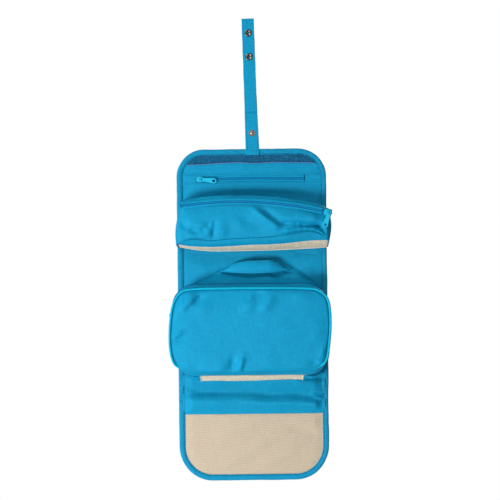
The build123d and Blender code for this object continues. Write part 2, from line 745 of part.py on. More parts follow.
def box_pouch():
    """Wall, base, the zip round three sides, and the lid with its half of the zip and its piping."""
    wall = wall_tube(BACK_OUTLINE, LINING_FRONT, ZIP_OUTLINE, GUSSET_FRONT).part
    block = base_block()
    with BuildPart() as gusset:
        add(wall)
        add(block, mode=Mode.SUBTRACT)
    keep(gusset, "box_gusset")
    with BuildPart() as base:
        add(wall)
        add(block, mode=Mode.INTERSECT)
        add(hinge_strip(BOX_ZIP_Y + CENTRE_GAP, GUSSET_FRONT).part)
    keep(base, "box_base")
    keep(hinge_strip(LID_GUSSET_BACK, BOX_ZIP_Y - CENTRE_GAP), "lid_hinge_strip")
    keep(wall_tube(ZIP_OUTLINE, LID_GUSSET_BACK, FACE_OUTLINE, LID_BACK), "lid_gusset")
    keep(sheet(box_outline(FACE_OUTLINE, -TAPE_HALF), LID_FRONT, LID_BACK), "lid_face")

    half = TAPE_HALF
    coil = COIL_HEIGHT
    keep(zip_ring(half, half, BOX_ZIP_Y + CENTRE_GAP, GUSSET_FRONT), "box_tape")
    keep(zip_ring(coil, -half, BOX_ZIP_Y + CENTRE_GAP, BOX_ZIP_Y + COIL_EDGE), "box_coil")
    keep(zip_ring(half, half, LID_GUSSET_BACK, BOX_ZIP_Y - CENTRE_GAP), "lid_tape")
    keep(zip_ring(coil, -half, BOX_ZIP_Y - COIL_EDGE, BOX_ZIP_Y - CENTRE_GAP), "lid_coil")

    with BuildPart() as piping:
        with BuildSketch(layer(LID_BACK)):
            add(box_outline(FACE_OUTLINE, -PIPING_OUT))
            add(box_outline(FACE_OUTLINE, -TAPE_HALF), mode=Mode.SUBTRACT)
        extrude(amount=LID_BACK - PIPING_FRONT)
        fillet(piping.faces().filter_by(Axis.Y).edges(), (PIPING_OUT - TAPE_HALF) * PIPING_ROUND)
    keep(piping, "lid_piping")

    place = Plane(
        origin=(-ZIP_OUTLINE["half"], BOX_ZIP_Y, LID_SLIDER_Z), x_dir=(0, 0, -1), z_dir=(-1, 0, 0)
    )
    keep(zip_slider(place, flanges=(-1,)), "lid_slider")
    keep(zip_puller(place, 0), "lid_puller")

    with BuildPart() as tabs:
        with BuildSketch(layer(GUSSET_FRONT - TAPE_HALF)):
            with Locations((0, ZIP_OUTLINE["low"] - 2 * TAPE_HALF)):
                with GridLocations(2 * ZIP_END_X - TAB, 0, 2, 1):
                    Rectangle(TAB, 2 * TAPE_HALF)
        extrude(amount=GUSSET_FRONT - TAPE_HALF - BOX_ZIP_Y - CENTRE_GAP)
    keep(tabs, "box_zip_tabs")


def handle():
    """A sewn grab handle: a strap that arches over the box pouch's sloping top, with two flat feet."""
    run = LINING_FRONT - GUSSET_FRONT
    drop = BACK_OUTLINE["high"] - ZIP_OUTLINE["high"]
    up = Vector(0, -drop, run).normalized()
    across = Vector(0, run, drop).normalized()
    top_z = BACK_OUTLINE["high"] - drop * (LINING_FRONT - HANDLE_Y) / run
    seat = Vector(HANDLE_X, HANDLE_Y, top_z) + up * (TAPE_HALF + HANDLE_LIFT)
    outer = HANDLE_HALF_SPAN
    inner = HANDLE_HALF_SPAN - 2 * HANDLE_PLY
    reach = HANDLE_HALF_SPAN + FOOT
    ply = HANDLE_PLY

    with BuildPart() as strap:
        with BuildSketch(Plane(origin=seat, x_dir=(1, 0, 0), z_dir=-across)):
            with BuildLine():
                Polyline((-outer, ply), (-reach, ply), (-reach, 0), (-inner, 0))
                ThreePointArc((-inner, 0), (0, HANDLE_RISE - ply), (inner, 0))
                Polyline((inner, 0), (reach, 0), (reach, ply), (outer, ply))
                ThreePointArc((outer, ply), (0, HANDLE_RISE), (-outer, ply))
            make_face()
        extrude(amount=HANDLE_HALF_WIDTH, both=True)
    keep(strap, "box_handle")


# ---------------------------------------------------------------- spine and flap
def spine_panel():
    """The band that wraps under the box pouch when the bag is rolled up."""
    straight_panel(FOLD_FLAP, FOLD_SPINE, "spine")


def flap_panel():
    """The rounded end flap: beige inside, with hook tape on its outer face."""
    keep(shell(flap_outline), "flap_shell")
    keep(padding(flap_outline, LINING_BACK), "flap_padding")
    keep(sheet(flap_outline(PLY), LINING_FRONT, LINING_BACK), "flap_lining")
    keep(binding(flap_outline(0), flap_outline(BINDING_WIDTH), flap_outline(PLY)), "flap_binding")
    with BuildPart() as hook_tape:
        with BuildSketch(layer(FIELD_BACK + HOOK_TAPE_PLY)):
            with Locations((0, (HOOK_TAPE_LOW + HOOK_TAPE_HIGH) / 2)):
                Rectangle(2 * HOOK_TAPE_HALF, HOOK_TAPE_HIGH - HOOK_TAPE_LOW)
        extrude(amount=HOOK_TAPE_PLY)
    keep(hook_tape, "hook_tape")


top_panel()
top_zip()
strap()
swinging_pouch()
pouch_zip()
mid_panel()
box_pouch()
handle()
spine_panel()
flap_panel()
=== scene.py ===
"""Hanging toiletry bag: cloth, zips, trim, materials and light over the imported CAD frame.

Shapes are worked out in millimetres, in the CAD frame, and become metres when a mesh is made. The inner
side of the bag faces -Y. Cloth is one smooth grid for each cut piece, shaped by folds and ridges.
"""
import json
import math
from collections import Counter

import bmesh
import bpy
import numpy as np
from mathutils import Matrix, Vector
from mathutils.bvhtree import BVHTree


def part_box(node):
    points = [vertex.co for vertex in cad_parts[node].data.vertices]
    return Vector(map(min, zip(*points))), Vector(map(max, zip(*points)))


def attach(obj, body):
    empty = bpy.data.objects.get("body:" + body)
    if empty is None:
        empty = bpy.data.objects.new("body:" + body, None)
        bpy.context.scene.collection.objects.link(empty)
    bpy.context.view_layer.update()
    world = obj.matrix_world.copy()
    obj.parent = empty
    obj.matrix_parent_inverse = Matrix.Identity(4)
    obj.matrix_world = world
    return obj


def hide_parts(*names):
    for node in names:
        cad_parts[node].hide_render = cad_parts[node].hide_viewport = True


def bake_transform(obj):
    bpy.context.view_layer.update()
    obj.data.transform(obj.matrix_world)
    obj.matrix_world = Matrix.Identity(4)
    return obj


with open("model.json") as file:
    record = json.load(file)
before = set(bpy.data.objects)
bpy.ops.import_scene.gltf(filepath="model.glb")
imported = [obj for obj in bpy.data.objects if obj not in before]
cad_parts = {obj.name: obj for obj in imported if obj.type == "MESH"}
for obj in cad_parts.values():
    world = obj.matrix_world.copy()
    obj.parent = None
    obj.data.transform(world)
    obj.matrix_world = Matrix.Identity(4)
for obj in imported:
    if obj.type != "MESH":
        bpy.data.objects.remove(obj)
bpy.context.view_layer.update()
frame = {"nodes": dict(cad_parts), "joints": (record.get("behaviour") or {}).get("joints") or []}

MM = 0.001
WEAVE = "weave"  # the UV map that holds a cloth's own coordinates, in millimetres
FORWARDS, BACKWARDS = (0, -1, 0), (0, 1, 0)
JOINTS = {joint["name"]: joint for joint in frame["joints"]}


# ------------------------------------------------------------------ sizes read from the frame
def corners(node):
    """Lowest and highest corner of a CAD node, in millimetres."""
    low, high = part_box(node)
    return np.array(low) / MM, np.array(high) / MM


def pivot(name):
    """A point on a joint's axis, in millimetres."""
    return np.array(JOINTS[name]["pos_m"]) / MM


def metres(x, y, z):
    """A point for the frame's calls, which take metres."""
    return (x * MM, y * MM, z * MM)


BODY_HALF = corners("top_binding")[1][0]
TOP = corners("top_binding")[1][2]
BOTTOM = corners("flap_binding")[0][2]
CORNER_TOP = 46.0
CORNER_BOTTOM = 56.0
BINDING_WIDTH = 10.0
FOLD_UPPER = pivot("upper_fold")[2]
FOLD_LOWER = pivot("lower_fold")[2]
FOLD_FLAP = pivot("flap_fold")[2]
FOLD_REACH = 5.0  # the two places handed to bend() lie this far on each side of a fold line; bend() does not use them
PANEL_INSET = 6.0  # the panel's cloths end this far inside the body's edge, under the binding
LAP_X = -18.0  # where the binding's end is lapped over its start
MIDWAY = FOLD_UPPER - 100.0  # where the long cloths change from one fold to the next
SPINE_SPLIT = FOLD_LOWER - 30.5
BAND_TOP = FOLD_LOWER + 7.5  # the slack band under the box begins here, behind the box's base
LINING_Y = corners("mid_lining")[0][1]
SHELL_Y = corners("mid_shell")[1][1]
BINDING_BACK_Y = corners("mid_bindings")[1][1]

STRAP_LEAN = -math.atan2(JOINTS["strap_fold"]["axis"][2], JOINTS["strap_fold"]["axis"][0])
STRAP_TOP = corners("strap_upper")[1][2]
STRAP_BOTTOM = corners("strap_lower")[0][2] - 1.2
STRAP_FRONT = corners("strap_upper")[0][1]
STRAP_BACK = corners("strap_lower")[1][1]
STRAP_MIDDLE = corners("strap_lower")[0][1]
SOCKET_HEIGHTS = (62.5, 101.4)

ZIP_Z = pivot("top_puller_swing")[2]
ZIP_LEFT, ZIP_RIGHT = corners("top_tape_upper")[0][0], corners("top_tape_upper")[1][0]
ZIP_ROW = corners("top_tape_upper")[1][2] - ZIP_Z
ZIP_Y = (corners("top_tape_upper")[0][1] + corners("top_tape_upper")[1][1]) / 2

ARC_X, POUCH_ZIP_Y, ARC_Z = pivot("pouch_zip_slide")
TAPE_EDGE = 6.0
ARC_R = corners("pouch_tape_upper")[1][2] - ARC_Z - TAPE_EDGE
POUCH_HALF = corners("pouch_sides")[1][0] - 0.8
POUCH_LOW = corners("pouch_base")[0][2]
BACK_SEAM = 9.6  # the pouch's top meets its back this far beyond the zip's arc
MOUTH = pivot("pouch_mouth_open")
HANG_Z = pivot("pouch_swing")[2]

BOX_ZIP_Y = pivot("lid_open")[1]
LID_FRONT = corners("lid_face")[0][1]


# ------------------------------------------------------------------ shaping tools
def smooth(t):
    """0 to 1 with soft ends."""
    t = np.clip(t, 0.0, 1.0)
    return t * t * (3 - 2 * t)


def bell(value, middle, width):
    """A rounded bump of height 1 about middle."""
    return np.exp(-(((value - middle) / width) ** 2))


def curve(at, knots):
    """A smooth curve through (position, value) knots, in rising order, read at the given positions."""
    place, value = np.array(knots, float).T
    slope = np.gradient(value, place)
    at = np.clip(at, place[0], place[-1])
    i = np.clip(np.searchsorted(place, at) - 1, 0, len(place) - 2)
    step = place[i + 1] - place[i]
    t = (at - place[i]) / step
    return (
        (2 * t**3 - 3 * t**2 + 1) * value[i]
        + (t**3 - 2 * t**2 + t) * step * slope[i]
        + (3 * t**2 - 2 * t**3) * value[i + 1]
        + (t**3 - t**2) * step * slope[i + 1]
    )


def waves(a, b, size, seed):
    """Smooth random height from -1 to 1, with waves about size across, the same in every run."""
    table = np.random.default_rng(seed).uniform(-1, 1, (64, 64))
    u, v = np.asarray(a) / size + 32.0, np.asarray(b) / size + 32.0
    i, j = np.floor(u).astype(int), np.floor(v).astype(int)
    fu, fv = smooth(u - i), smooth(v - j)
    i, j = i % 63, j % 63
    low = table[i, j] * (1 - fu) + table[i + 1, j] * fu
    high = table[i, j + 1] * (1 - fu) + table[i + 1, j + 1] * fu
    return low * (1 - fv) + high * fv


def ridge(x, z, start, end, width, height, lean=0.0):
    """A rounded ridge from start to end, or a valley if height is below 0. lean makes one side steeper."""
    (ax, az), (bx, bz) = start, end
    dx, dz = bx - ax, bz - az
    length = math.hypot(dx, dz)
    along = np.clip(((x - ax) * dx + (z - az) * dz) / length**2, 0, 1)
    off_x, off_z = x - ax - along * dx, z - az - along * dz
    side = (off_z * dx - off_x * dz) / length
    away = np.hypot(off_x, off_z)
    spread = width * (1 + lean * np.tanh(side / width))
    fade = smooth(along * length / (2 * width)) * smooth((1 - along) * length / (2 * width))
    return height * (0.25 + 0.75 * fade) * np.exp(-((away / spread) ** 2))


def ridges(x, z, rows):
    """The sum of many ridges, one row of ridge()'s arguments for each."""
    return sum(ridge(x, z, *row) for row in rows)


def xyz(x, y, z):
    """Points from their coordinates, which may be numbers or arrays that fit together."""
    return np.stack(np.broadcast_arrays(x, y, z), -1)


def rotate_y(points, angle):
    """Points turned about the Y axis."""
    x, y, z = np.moveaxis(np.asarray(points, float), -1, 0)
    c, s = math.cos(angle), math.sin(angle)
    return np.stack([x * c + z * s, y, -x * s + z * c], -1)


def distances(points):
    """Distance along a path at each of its points."""
    steps = np.linalg.norm(np.diff(points, axis=0), axis=1)
    return np.concatenate([[0.0], np.cumsum(steps)])


def resample(points, step):
    """A path's points, evenly spaced about step apart."""
    points = np.asarray(points, float)
    at = distances(points)
    new = np.linspace(0, at[-1], max(2, int(round(at[-1] / step)) + 1))
    return np.stack([np.interp(new, at, column) for column in points.T], -1)


def unit(vectors):
    """Vectors of length one."""
    return vectors / np.maximum(np.linalg.norm(vectors, axis=-1, keepdims=True), 1e-9)


def tangents(points, closed=False):
    """Direction of travel at each point of a path."""
    if closed:
        return unit(np.roll(points, -1, 0) - np.roll(points, 1, 0))
    return unit(np.gradient(points, axis=0))


# ------------------------------------------------------------------ meshes
def add_mesh(name, points, faces, material, corner_uv=None):
    """A smooth-shaded piece from points in millimetres; corner_uv has a pair for each face corner."""
    mesh = bpy.data.meshes.new(name)
    mesh.from_pydata((np.asarray(points, float).reshape(-1, 3) * MM).tolist(), [], faces)
    mesh.materials.append(material)
    mesh.polygons.foreach_set("use_smooth", [True] * len(mesh.polygons))
    if corner_uv is not None:
        layer = mesh.uv_layers.new(name=WEAVE)
        layer.data.foreach_set("uv", np.asarray(corner_uv, float).ravel())
    mesh.update()
    made = bpy.data.objects.new(name, mesh)
    bpy.context.scene.collection.objects.link(made)
    return made


def grid_uv(grid):
    """Cloth coordinates of a grid: the distance along its rows and down its columns."""
    across = np.linalg.norm(np.diff(grid, axis=1), axis=2)
    down = np.linalg.norm(np.diff(grid, axis=0), axis=2)
    u = np.pad(np.cumsum(across, 1), ((0, 0), (1, 0)))
    v = np.pad(np.cumsum(down, 0), ((1, 0), (0, 0)))
    return np.stack([u - u.mean(1, keepdims=True), -v], -1)


def grid_piece(name, grid, material, wrap=False, caps=False, uv=None):
    """A piece from a rows x columns grid of points. wrap joins the last column to the first."""
    grid = np.asarray(grid, float)
    rows, cols = grid.shape[:2]
    if uv is None:
        uv = grid_uv(np.concatenate([grid, grid[:, :1]], 1) if wrap else grid)
    i, j = np.meshgrid(np.arange(rows - 1), np.arange(cols if wrap else cols - 1), indexing="ij")
    i, j = i.ravel(), j.ravel()
    k = (j + 1) % cols
    faces = np.stack([i * cols + j, i * cols + k, (i + 1) * cols + k, (i + 1) * cols + j], -1)
    corner_uv = np.stack([uv[i, j], uv[i, j + 1], uv[i + 1, j + 1], uv[i + 1, j]], 1).reshape(-1, 2)
    faces = faces.tolist()
    if caps:
        faces += [list(range(cols))[::-1], list(range((rows - 1) * cols, rows * cols))]
        flat = np.tile(uv[0, 0], (2 * cols, 1))
        corner_uv = np.concatenate([corner_uv, flat])
    return add_mesh(name, grid, faces, material, corner_uv)


def thicken(piece, thickness):
    """Gives a sheet its thickness, behind its surface, with a crisp edge all round."""
    mesh = piece.data
    used = Counter(key for face in mesh.polygons for key in face.edge_keys)
    sharp = mesh.attributes.new("sharp_edge", "BOOLEAN", "EDGE")
    sharp.data.foreach_set("value", [used[edge.key] == 1 for edge in mesh.edges])
    made = piece.modifiers.new("thickness", "SOLIDIFY")
    made.thickness = thickness * MM
    made.offset = -1.0
    made.use_even_offset = False
    return piece


def facing(grid, direction):
    """The grid with its columns turned round if its surface faces away from direction."""
    a = np.diff(grid[:-1], axis=1).reshape(-1, 3)
    b = np.diff(grid[:, :-1], axis=0).reshape(-1, 3)
    if (np.cross(a, b).sum(0) @ np.array(direction, float)) < 0:
        return grid[:, ::-1]
    return grid


def cloth(name, grid, material, thickness, towards=FORWARDS, flat=False, wrap=False):
    """A sheet of cloth. It faces a direction, or away from the box's middle where that is None.

    flat takes its weave straight from x and z.
    """
    if towards is not None:
        grid = facing(grid, towards)
    uv = grid[..., [0, 2]] if flat else None
    piece = thicken(grid_piece(name, grid, material, wrap=wrap, uv=uv), thickness)
    if towards is None:
        outward_faces(piece)
    return piece


def fix(piece, body, slot, *nodes):
    """Fixes a piece to a body and hides the CAD nodes that it stands for."""
    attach(piece, body)
    label(piece, slot, *nodes)


def bend(piece, bodies, start, end, slot, *nodes):
    """Bakes a piece's placement into its points and hides the CAD nodes that it stands for; it is not
    bent, and the bodies and the two places, each a depth and a height, are not used.
    """
    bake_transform(piece)
    label(piece, slot, *nodes)


def bend_over(piece, bodies, depth, fold, slot, *nodes):
    """Hands a piece and one of the panel's fold lines to bend(), which does not bend it."""
    bend(piece, bodies, (depth, fold + FOLD_REACH), (depth, fold - FOLD_REACH), slot, *nodes)


def label(piece, slot, *nodes):
    """Hides the CAD nodes that a piece stands for; slot is not used."""
    if nodes:
        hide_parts(*nodes)


def tube(name, path, radius, material, sides=8, closed=False):
    """A round cord along a path."""
    path = np.asarray(path, float)
    along = tangents(path, closed)
    normal = np.empty_like(path)
    last = np.array([0.0, -1.0, 0.0]) if abs(along[0][1]) < 0.9 else np.array([1.0, 0, 0])
    for index, direction in enumerate(along):
        last = unit(last - direction * (last @ direction))
        normal[index] = last
    side = np.cross(along, normal)
    turn = np.linspace(0, 2 * np.pi, sides, endpoint=False)[None, :, None]
    grid = path[:, None] + radius * (np.cos(turn) * normal[:, None] + np.sin(turn) * side[:, None])
    if closed:
        piece = grid_piece(name, np.concatenate([grid, grid[:1]]), material, wrap=True)
        weld(piece)
        return piece
    return grid_piece(name, grid, material, wrap=True, caps=True)


def weld(piece):
    """Joins a piece's points that lie in the same place."""
    work = bmesh.new()
    work.from_mesh(piece.data)
    bmesh.ops.remove_doubles(work, verts=work.verts, dist=0.01 * MM)
    bmesh.ops.recalc_face_normals(work, faces=work.faces)
    work.to_mesh(piece.data)
    work.free()
    piece.data.polygons.foreach_set("use_smooth", [True] * len(piece.data.polygons))


def snap(points, piece, lift=0.05, towards=FORWARDS):
    """Points moved onto a piece's surface, and the surface's normals there, turned to face towards."""
    tree = BVHTree.FromPolygons(
        [vertex.co for vertex in piece.data.vertices], [face.vertices[:] for face in piece.data.polygons]
    )
    placed, normals = [], []
    for point in np.asarray(points, float):
        spot, normal, _, _ = tree.find_nearest(Vector(point * MM))
        normal = np.array(normal) * (1 if np.dot(normal, towards) >= 0 else -1)
        placed.append(np.array(spot) / MM + normal * lift)
        normals.append(normal)
    return np.array(placed), np.array(normals)


def stitches(name, paths, material, pitch=3.0, length=2.1, thread=0.28):
    """Rows of sewn stitches. paths holds (points, normals) pairs that lie on the cloth."""
    share = np.array([0.0, 0.12, 0.35, 0.65, 0.88, 1.0])  # along a stitch, one ring of points at each
    swell = np.array([0.25, 0.8, 1.0, 1.0, 0.8, 0.25]) * thread
    rise = np.array([-0.5, 0.1, 0.55, 0.55, 0.1, -0.5]) * thread
    rings = sides = len(share)
    turn = np.linspace(0, 2 * np.pi, sides, endpoint=False)[:, None]
    made = []
    for path, normals in paths:
        at = distances(path)
        count = int(at[-1] // pitch)
        first = (at[-1] - count * pitch) / 2 + (pitch - length) / 2
        where = first + np.arange(count)[:, None] * pitch + share * length
        spot, up = (
            np.stack([np.interp(where, at, column) for column in values.T], -1)
            for values in (path, normals)
        )
        up = unit(up)
        side = unit(np.cross(unit(spot[:, -1:] - spot[:, :1]), up))
        ring = np.cos(turn) * side[:, :, None] + np.sin(turn) * up[:, :, None]
        made.append((spot + up * rise[:, None])[:, :, None] + swell[:, None, None] * ring)
    made = np.concatenate(made)
    one = [
        [a + s, a + (s + 1) % sides, a + sides + (s + 1) % sides, a + sides + s]
        for a in range(0, (rings - 1) * sides, sides) for s in range(sides)
    ]
    one += [list(range(sides))[::-1], list(range((rings - 1) * sides, rings * sides))]
    starts = range(0, len(made) * rings * sides, rings * sides)
    faces = [[start + corner for corner in face] for start in starts for face in one]
    return add_mesh(name, made, faces, material)


def flat_row(points, normal=FORWARDS):
    """A stitch path whose normals all point one way."""
    points = resample(points, 2.0)
    return points, np.tile(np.array(normal, float), (len(points), 1))


# ------------------------------------------------------------------ materials
def srgb(red, green, blue):
    """A display colour from 0 to 255 as the linear colour that shaders take."""
    def channel(value):
        value /= 255
        return value / 12.92 if value <= 0.04045 else ((value + 0.055) / 1.055) ** 2.4

    return (channel(red), channel(green), channel(blue), 1.0)


class Graph:
    """A material's nodes, made and linked in one call each."""

    def __init__(self, name):
        self.material = bpy.data.materials.new(name)
        self.material.use_nodes = True
        self.tree = self.material.node_tree
        self.shader = self.tree.nodes["Principled BSDF"]

    def add(self, kind, settings=None, **inputs):
        """A node with its settings, and its inputs by name, or by number as i0, i1 and so on."""
        node = self.tree.nodes.new("ShaderNode" + kind)
        for key, value in (settings or {}).items():
            setattr(node, key, value)
        for key, value in inputs.items():
            self.put(node, int(key[1:]) if key[1:].isdigit() else key.replace("_", " "), value)
        return node

    def put(self, node, key, value):
        """Links a socket to an input, or sets the input's own value."""
        socket = node.inputs[key]
        if isinstance(value, bpy.types.NodeSocket):
            self.tree.links.new(value, socket)
        else:
            socket.default_value = value

    def math(self, operation, *values):
        node = self.add("Math", {"operation": operation})
        for index, value in enumerate(values):
            self.put(node, index, value)
        return node.outputs[0]

    def mix(self, share, first, second, blend="MIX"):
        settings = {"data_type": "RGBA", "blend_type": blend}
        return self.add("Mix", settings, i0=share, i6=first, i7=second).outputs[2]

    def span(self, value, low, high, start=0.0, end=1.0):
        """A value that runs from low to high while the given one runs from start to end."""
        return self.add("MapRange", i0=value, i1=start, i2=end, i3=low, i4=high).outputs[0]

    def noise(self, vector, scale, detail=2.0, roughness=0.5):
        node = self.add("TexNoise", Vector=vector, Scale=scale, Detail=detail, Roughness=roughness)
        return node.outputs["Fac"]

    def place(self, use_weave=False):
        """Coordinates in millimetres: the object's, or the cloth's own."""
        if use_weave:
            return self.add("UVMap", {"uv_map": WEAVE}).outputs["UV"]
        where = self.add("TexCoord").outputs["Object"]
        return self.add("VectorMath", {"operation": "SCALE"}, i0=where, Scale=1 / MM).outputs[0]

    def stretch(self, vector, *scale):
        return self.add("Mapping", Vector=vector, Scale=scale).outputs[0]

    def bump(self, height, distance, strength, **inputs):
        node = self.add("Bump", Height=height, Distance=distance, Strength=strength, **inputs)
        return node.outputs["Normal"]

    def finish(self, **inputs):
        """Sets the shader's inputs, and gives the finished material."""
        for key, value in inputs.items():
            self.put(self.shader, key.replace("_", " "), value)
        return self.material


def plain_weave(graph, vector, pitch):
    """Height of a plain weave: each thread is round and passes over its neighbours in turn."""
    parts = graph.add("SeparateXYZ", i0=vector).outputs
    over_u, over_v = (
        graph.math("ABSOLUTE", graph.math("SINE", graph.math("MULTIPLY", part, math.pi / pitch)))
        for part in parts[:2]
    )
    checker = graph.add("TexChecker", Vector=vector, Scale=1 / pitch)
    difference = graph.math("SUBTRACT", over_v, over_u)
    return graph.math("ADD", over_u, graph.math("MULTIPLY", difference, checker.outputs["Fac"]))


def woven(name, colour, dark, light, pitch=0.62, slub=1.0, relief=0.00011, roughness=0.5,
          gloss=0.09, use_weave=True, rib=0.0, rib_turn=0.0):
    """Woven cloth: threads, slubs along both thread directions, faint mottling and creases, with painted
    shade in the gaps between threads and a faint painted highlight on their crowns.

    rib adds coarse lines, rib_turn degrees from level, as a heavier thread every few picks gives.
    """
    graph = Graph(name)
    where = graph.place(use_weave)
    weave = plain_weave(graph, where, pitch)
    down = graph.noise(graph.stretch(where, 0.55, 0.05, 0.3), 1.0, 3.0, 0.6)
    across = graph.noise(graph.stretch(where, 0.05, 0.55, 0.3), 1.0, 3.0, 0.6)
    streaks = graph.math("MULTIPLY", graph.math("ADD", down, across), 0.5)
    threads = graph.mix(graph.span(streaks, 0, 1, 0.5 - 0.17 / slub, 0.5 + 0.17 / slub), dark, light)
    mottle = graph.span(graph.noise(where, 0.035, 3.0, 0.55), 0.1, 0.4, 0.3, 0.7)
    toned = graph.mix(mottle, threads, colour)
    if rib:
        turned = graph.add("Mapping", Vector=where, Rotation=(0, 0, math.radians(rib_turn))).outputs[0]
        lines = graph.add(
            "TexWave", {"bands_direction": "Y"}, Vector=turned, Scale=0.072, Distortion=1.2,
            Detail=3.0, Detail_Scale=0.6,
        )
        toned = graph.mix(1.0, toned, graph.span(lines.outputs["Fac"], 1 - rib, 1 + rib), "MULTIPLY")
    # painted shade: the colour darkens where the weave dips between threads, with a faint painted
    # highlight on the thread crowns
    shaded = graph.mix(1.0, toned, graph.span(weave, 0.72, 1.06), "MULTIPLY")
    creased = graph.bump(graph.noise(where, 0.16, 3.0, 0.55), 0.0011, 0.5)
    return graph.finish(
        Base_Color=shaded, Roughness=graph.span(streaks, roughness - 0.1, roughness + 0.1),
        Normal=graph.bump(weave, relief, 0.8, Normal=creased), Specular_IOR_Level=gloss,
    )


def blue_cloth(name, level=1.0, spread=0.20, **settings):
    """The bag's blue at a lightness, with darker and lighter threads."""
    red, green, blue, alpha = srgb(10, 146, 190)
    tones = (
        (red * factor, min(green * factor, 1), min(blue * factor, 1), alpha)
        for factor in (level, level * (1 - spread), level * (1 + spread))
    )
    return woven(name, *tones, **settings)


FABRIC_BLUE = blue_cloth("fabric_blue", 1.0)
PANEL_BLUE = blue_cloth("panel_blue", 0.97)
BINDING_BLUE = blue_cloth("binding_blue", 0.9, 0.24, pitch=0.5, slub=1.3)
STRAP_BLUE = blue_cloth("strap_blue", 1.0, 0.2, pitch=0.5, slub=1.2)
BEIGE = woven(
    "beige_cloth", srgb(194, 179, 158), srgb(188, 172, 151), srgb(200, 186, 165), pitch=0.6,
    slub=1.0, relief=0.00014, roughness=0.85, gloss=0.1, rib=0.045, rib_turn=6.0,
)
BEIGE_TWILL = woven(
    "beige_twill", srgb(221, 207, 182), srgb(198, 182, 154), srgb(238, 227, 206), pitch=0.85,
    slub=1.5, relief=0.00018, roughness=0.85, gloss=0.1, rib=0.18, rib_turn=35.0,
)
BEIGE_HEM = woven(
    "beige_hem", srgb(236, 226, 206), srgb(220, 206, 182), srgb(246, 238, 224), pitch=0.6,
    slub=1.0, relief=0.00012, roughness=0.8, gloss=0.15,
)
PIPING_CYAN = woven(
    "piping_cyan", srgb(0, 172, 208), srgb(0, 156, 194), srgb(10, 188, 220), pitch=0.45, slub=1.0,
)
TAPE_CYAN = woven(
    "zip_tape_cyan", srgb(0, 150, 196), srgb(0, 136, 182), srgb(8, 166, 208), pitch=0.4, slub=0.9,
)
THREAD_BLUE, THREAD_PALE, THREAD_DARK = (
    blue_cloth(f"thread_{name}", level, pitch=0.3, use_weave=False, relief=0.00005)
    for name, level in (("blue", 0.62), ("pale", 1.25), ("dark", 0.25))
)


def coil_material():
    """Nylon coil: its own dark navy, deepened as painted shade towards the edges that meet its tape, and
    pale blue along the centre where its heads mesh, a painted highlight.
    """
    graph = Graph("zip_coil")
    from_centre = graph.add("SeparateXYZ", i0=graph.place(True)).outputs[0]
    speck = graph.noise(graph.place(), 1.6)
    body = graph.mix(speck, srgb(0, 46, 104), srgb(0, 80, 146))
    # painted highlight along the meshing heads, fading to navy with painted shade at the edges by the tape
    colour = graph.mix(graph.span(from_centre, 0, 1, 0.5, 1.0), srgb(0, 150, 202), body)
    return graph.finish(
        Base_Color=colour, Roughness=graph.span(speck, 0.32, 0.5), Specular_IOR_Level=0.15
    )


def fuzzy(name, colour, dark, light, pitch, relief):
    """Hook or loop tape: a dense pile over a woven backing."""
    graph = Graph(name)
    where = graph.place()
    pile = graph.add("TexVoronoi", Vector=where, Scale=1 / pitch).outputs["Distance"]
    curls = graph.span(graph.noise(where, 0.36, 4.0, 0.8), 0, 1, 0.36, 0.64)
    toned = graph.mix(graph.noise(where, 0.08), graph.mix(curls, dark, light), colour)
    height = graph.math("ADD", curls, graph.math("MULTIPLY", pile, -0.8))
    return graph.finish(
        Base_Color=toned, Roughness=0.95, Normal=graph.bump(height, relief, 1.0),
        Specular_IOR_Level=0.1, Sheen_Weight=0.05, Sheen_Roughness=0.6,
    )


def painted_metal():
    """Zip sliders and pullers: enamel with soft wear and fine orange peel."""
    graph = Graph("painted_zip_metal")
    where = graph.place()
    peel = graph.noise(where, 1.1)
    wear = graph.noise(where, 0.5, 5.0, 0.7)
    colour = graph.mix(peel, srgb(0, 158, 200), srgb(12, 190, 222))
    worn = graph.mix(graph.span(wear, 0, 1, 0.64, 0.70), colour, srgb(120, 206, 226))
    return graph.finish(
        Base_Color=worn, Roughness=graph.span(wear, 0.26, 0.48),
        Normal=graph.bump(peel, 0.00006, 0.6), Coat_Weight=0.4, Coat_Roughness=0.15,
    )


def bright_metal(name, clean, tarnished):
    """Press studs: warm nickel plate with fine scratches and a little tarnish."""
    graph = Graph(name)
    where = graph.place()
    scratches = graph.noise(graph.stretch(where, 0.4, 6.0, 6.0), 1.0, 4.0, 0.7)
    return graph.finish(
        Base_Color=graph.mix(graph.noise(where, 0.45, 4.0, 0.6), clean, tarnished), Metallic=1.0,
        Roughness=graph.span(scratches, 0.16, 0.42), Normal=graph.bump(scratches, 0.00003, 0.5),
    )


COIL = coil_material()
LOOP_PILE = fuzzy(
    "loop_pile", srgb(4, 82, 126), srgb(0, 24, 58), srgb(34, 138, 182), 0.7, 0.0006
)
LOOP_EDGE = woven(
    "loop_edge", srgb(96, 128, 190), srgb(70, 104, 172), srgb(132, 156, 208), pitch=0.4, slub=1.0
)
HOOK_PILE = fuzzy(
    "hook_pile", srgb(12, 92, 150), srgb(6, 70, 124), srgb(34, 118, 172), 1.1, 0.0005
)
ENAMEL = painted_metal()
NICKEL = bright_metal("snap_metal", srgb(240, 230, 216), srgb(186, 168, 150))
OLD_NICKEL = bright_metal("snap_spring_metal", srgb(150, 132, 116), srgb(84, 68, 58))


# ------------------------------------------------------------------ the body's outline
def half_width(z, inset=0.0):
    """Half the body's width at height z, inset from its edge: its four outer corners are round."""
    upper, lower = CORNER_TOP - inset, CORNER_BOTTOM - inset
    over = np.clip(z - (TOP - CORNER_TOP), 0, upper)
    under = np.clip(BOTTOM + CORNER_BOTTOM - z, 0, lower)
    round_top = upper - np.sqrt(upper**2 - over**2)
    round_bottom = lower - np.sqrt(lower**2 - under**2)
    return BODY_HALF - inset - round_top - round_bottom


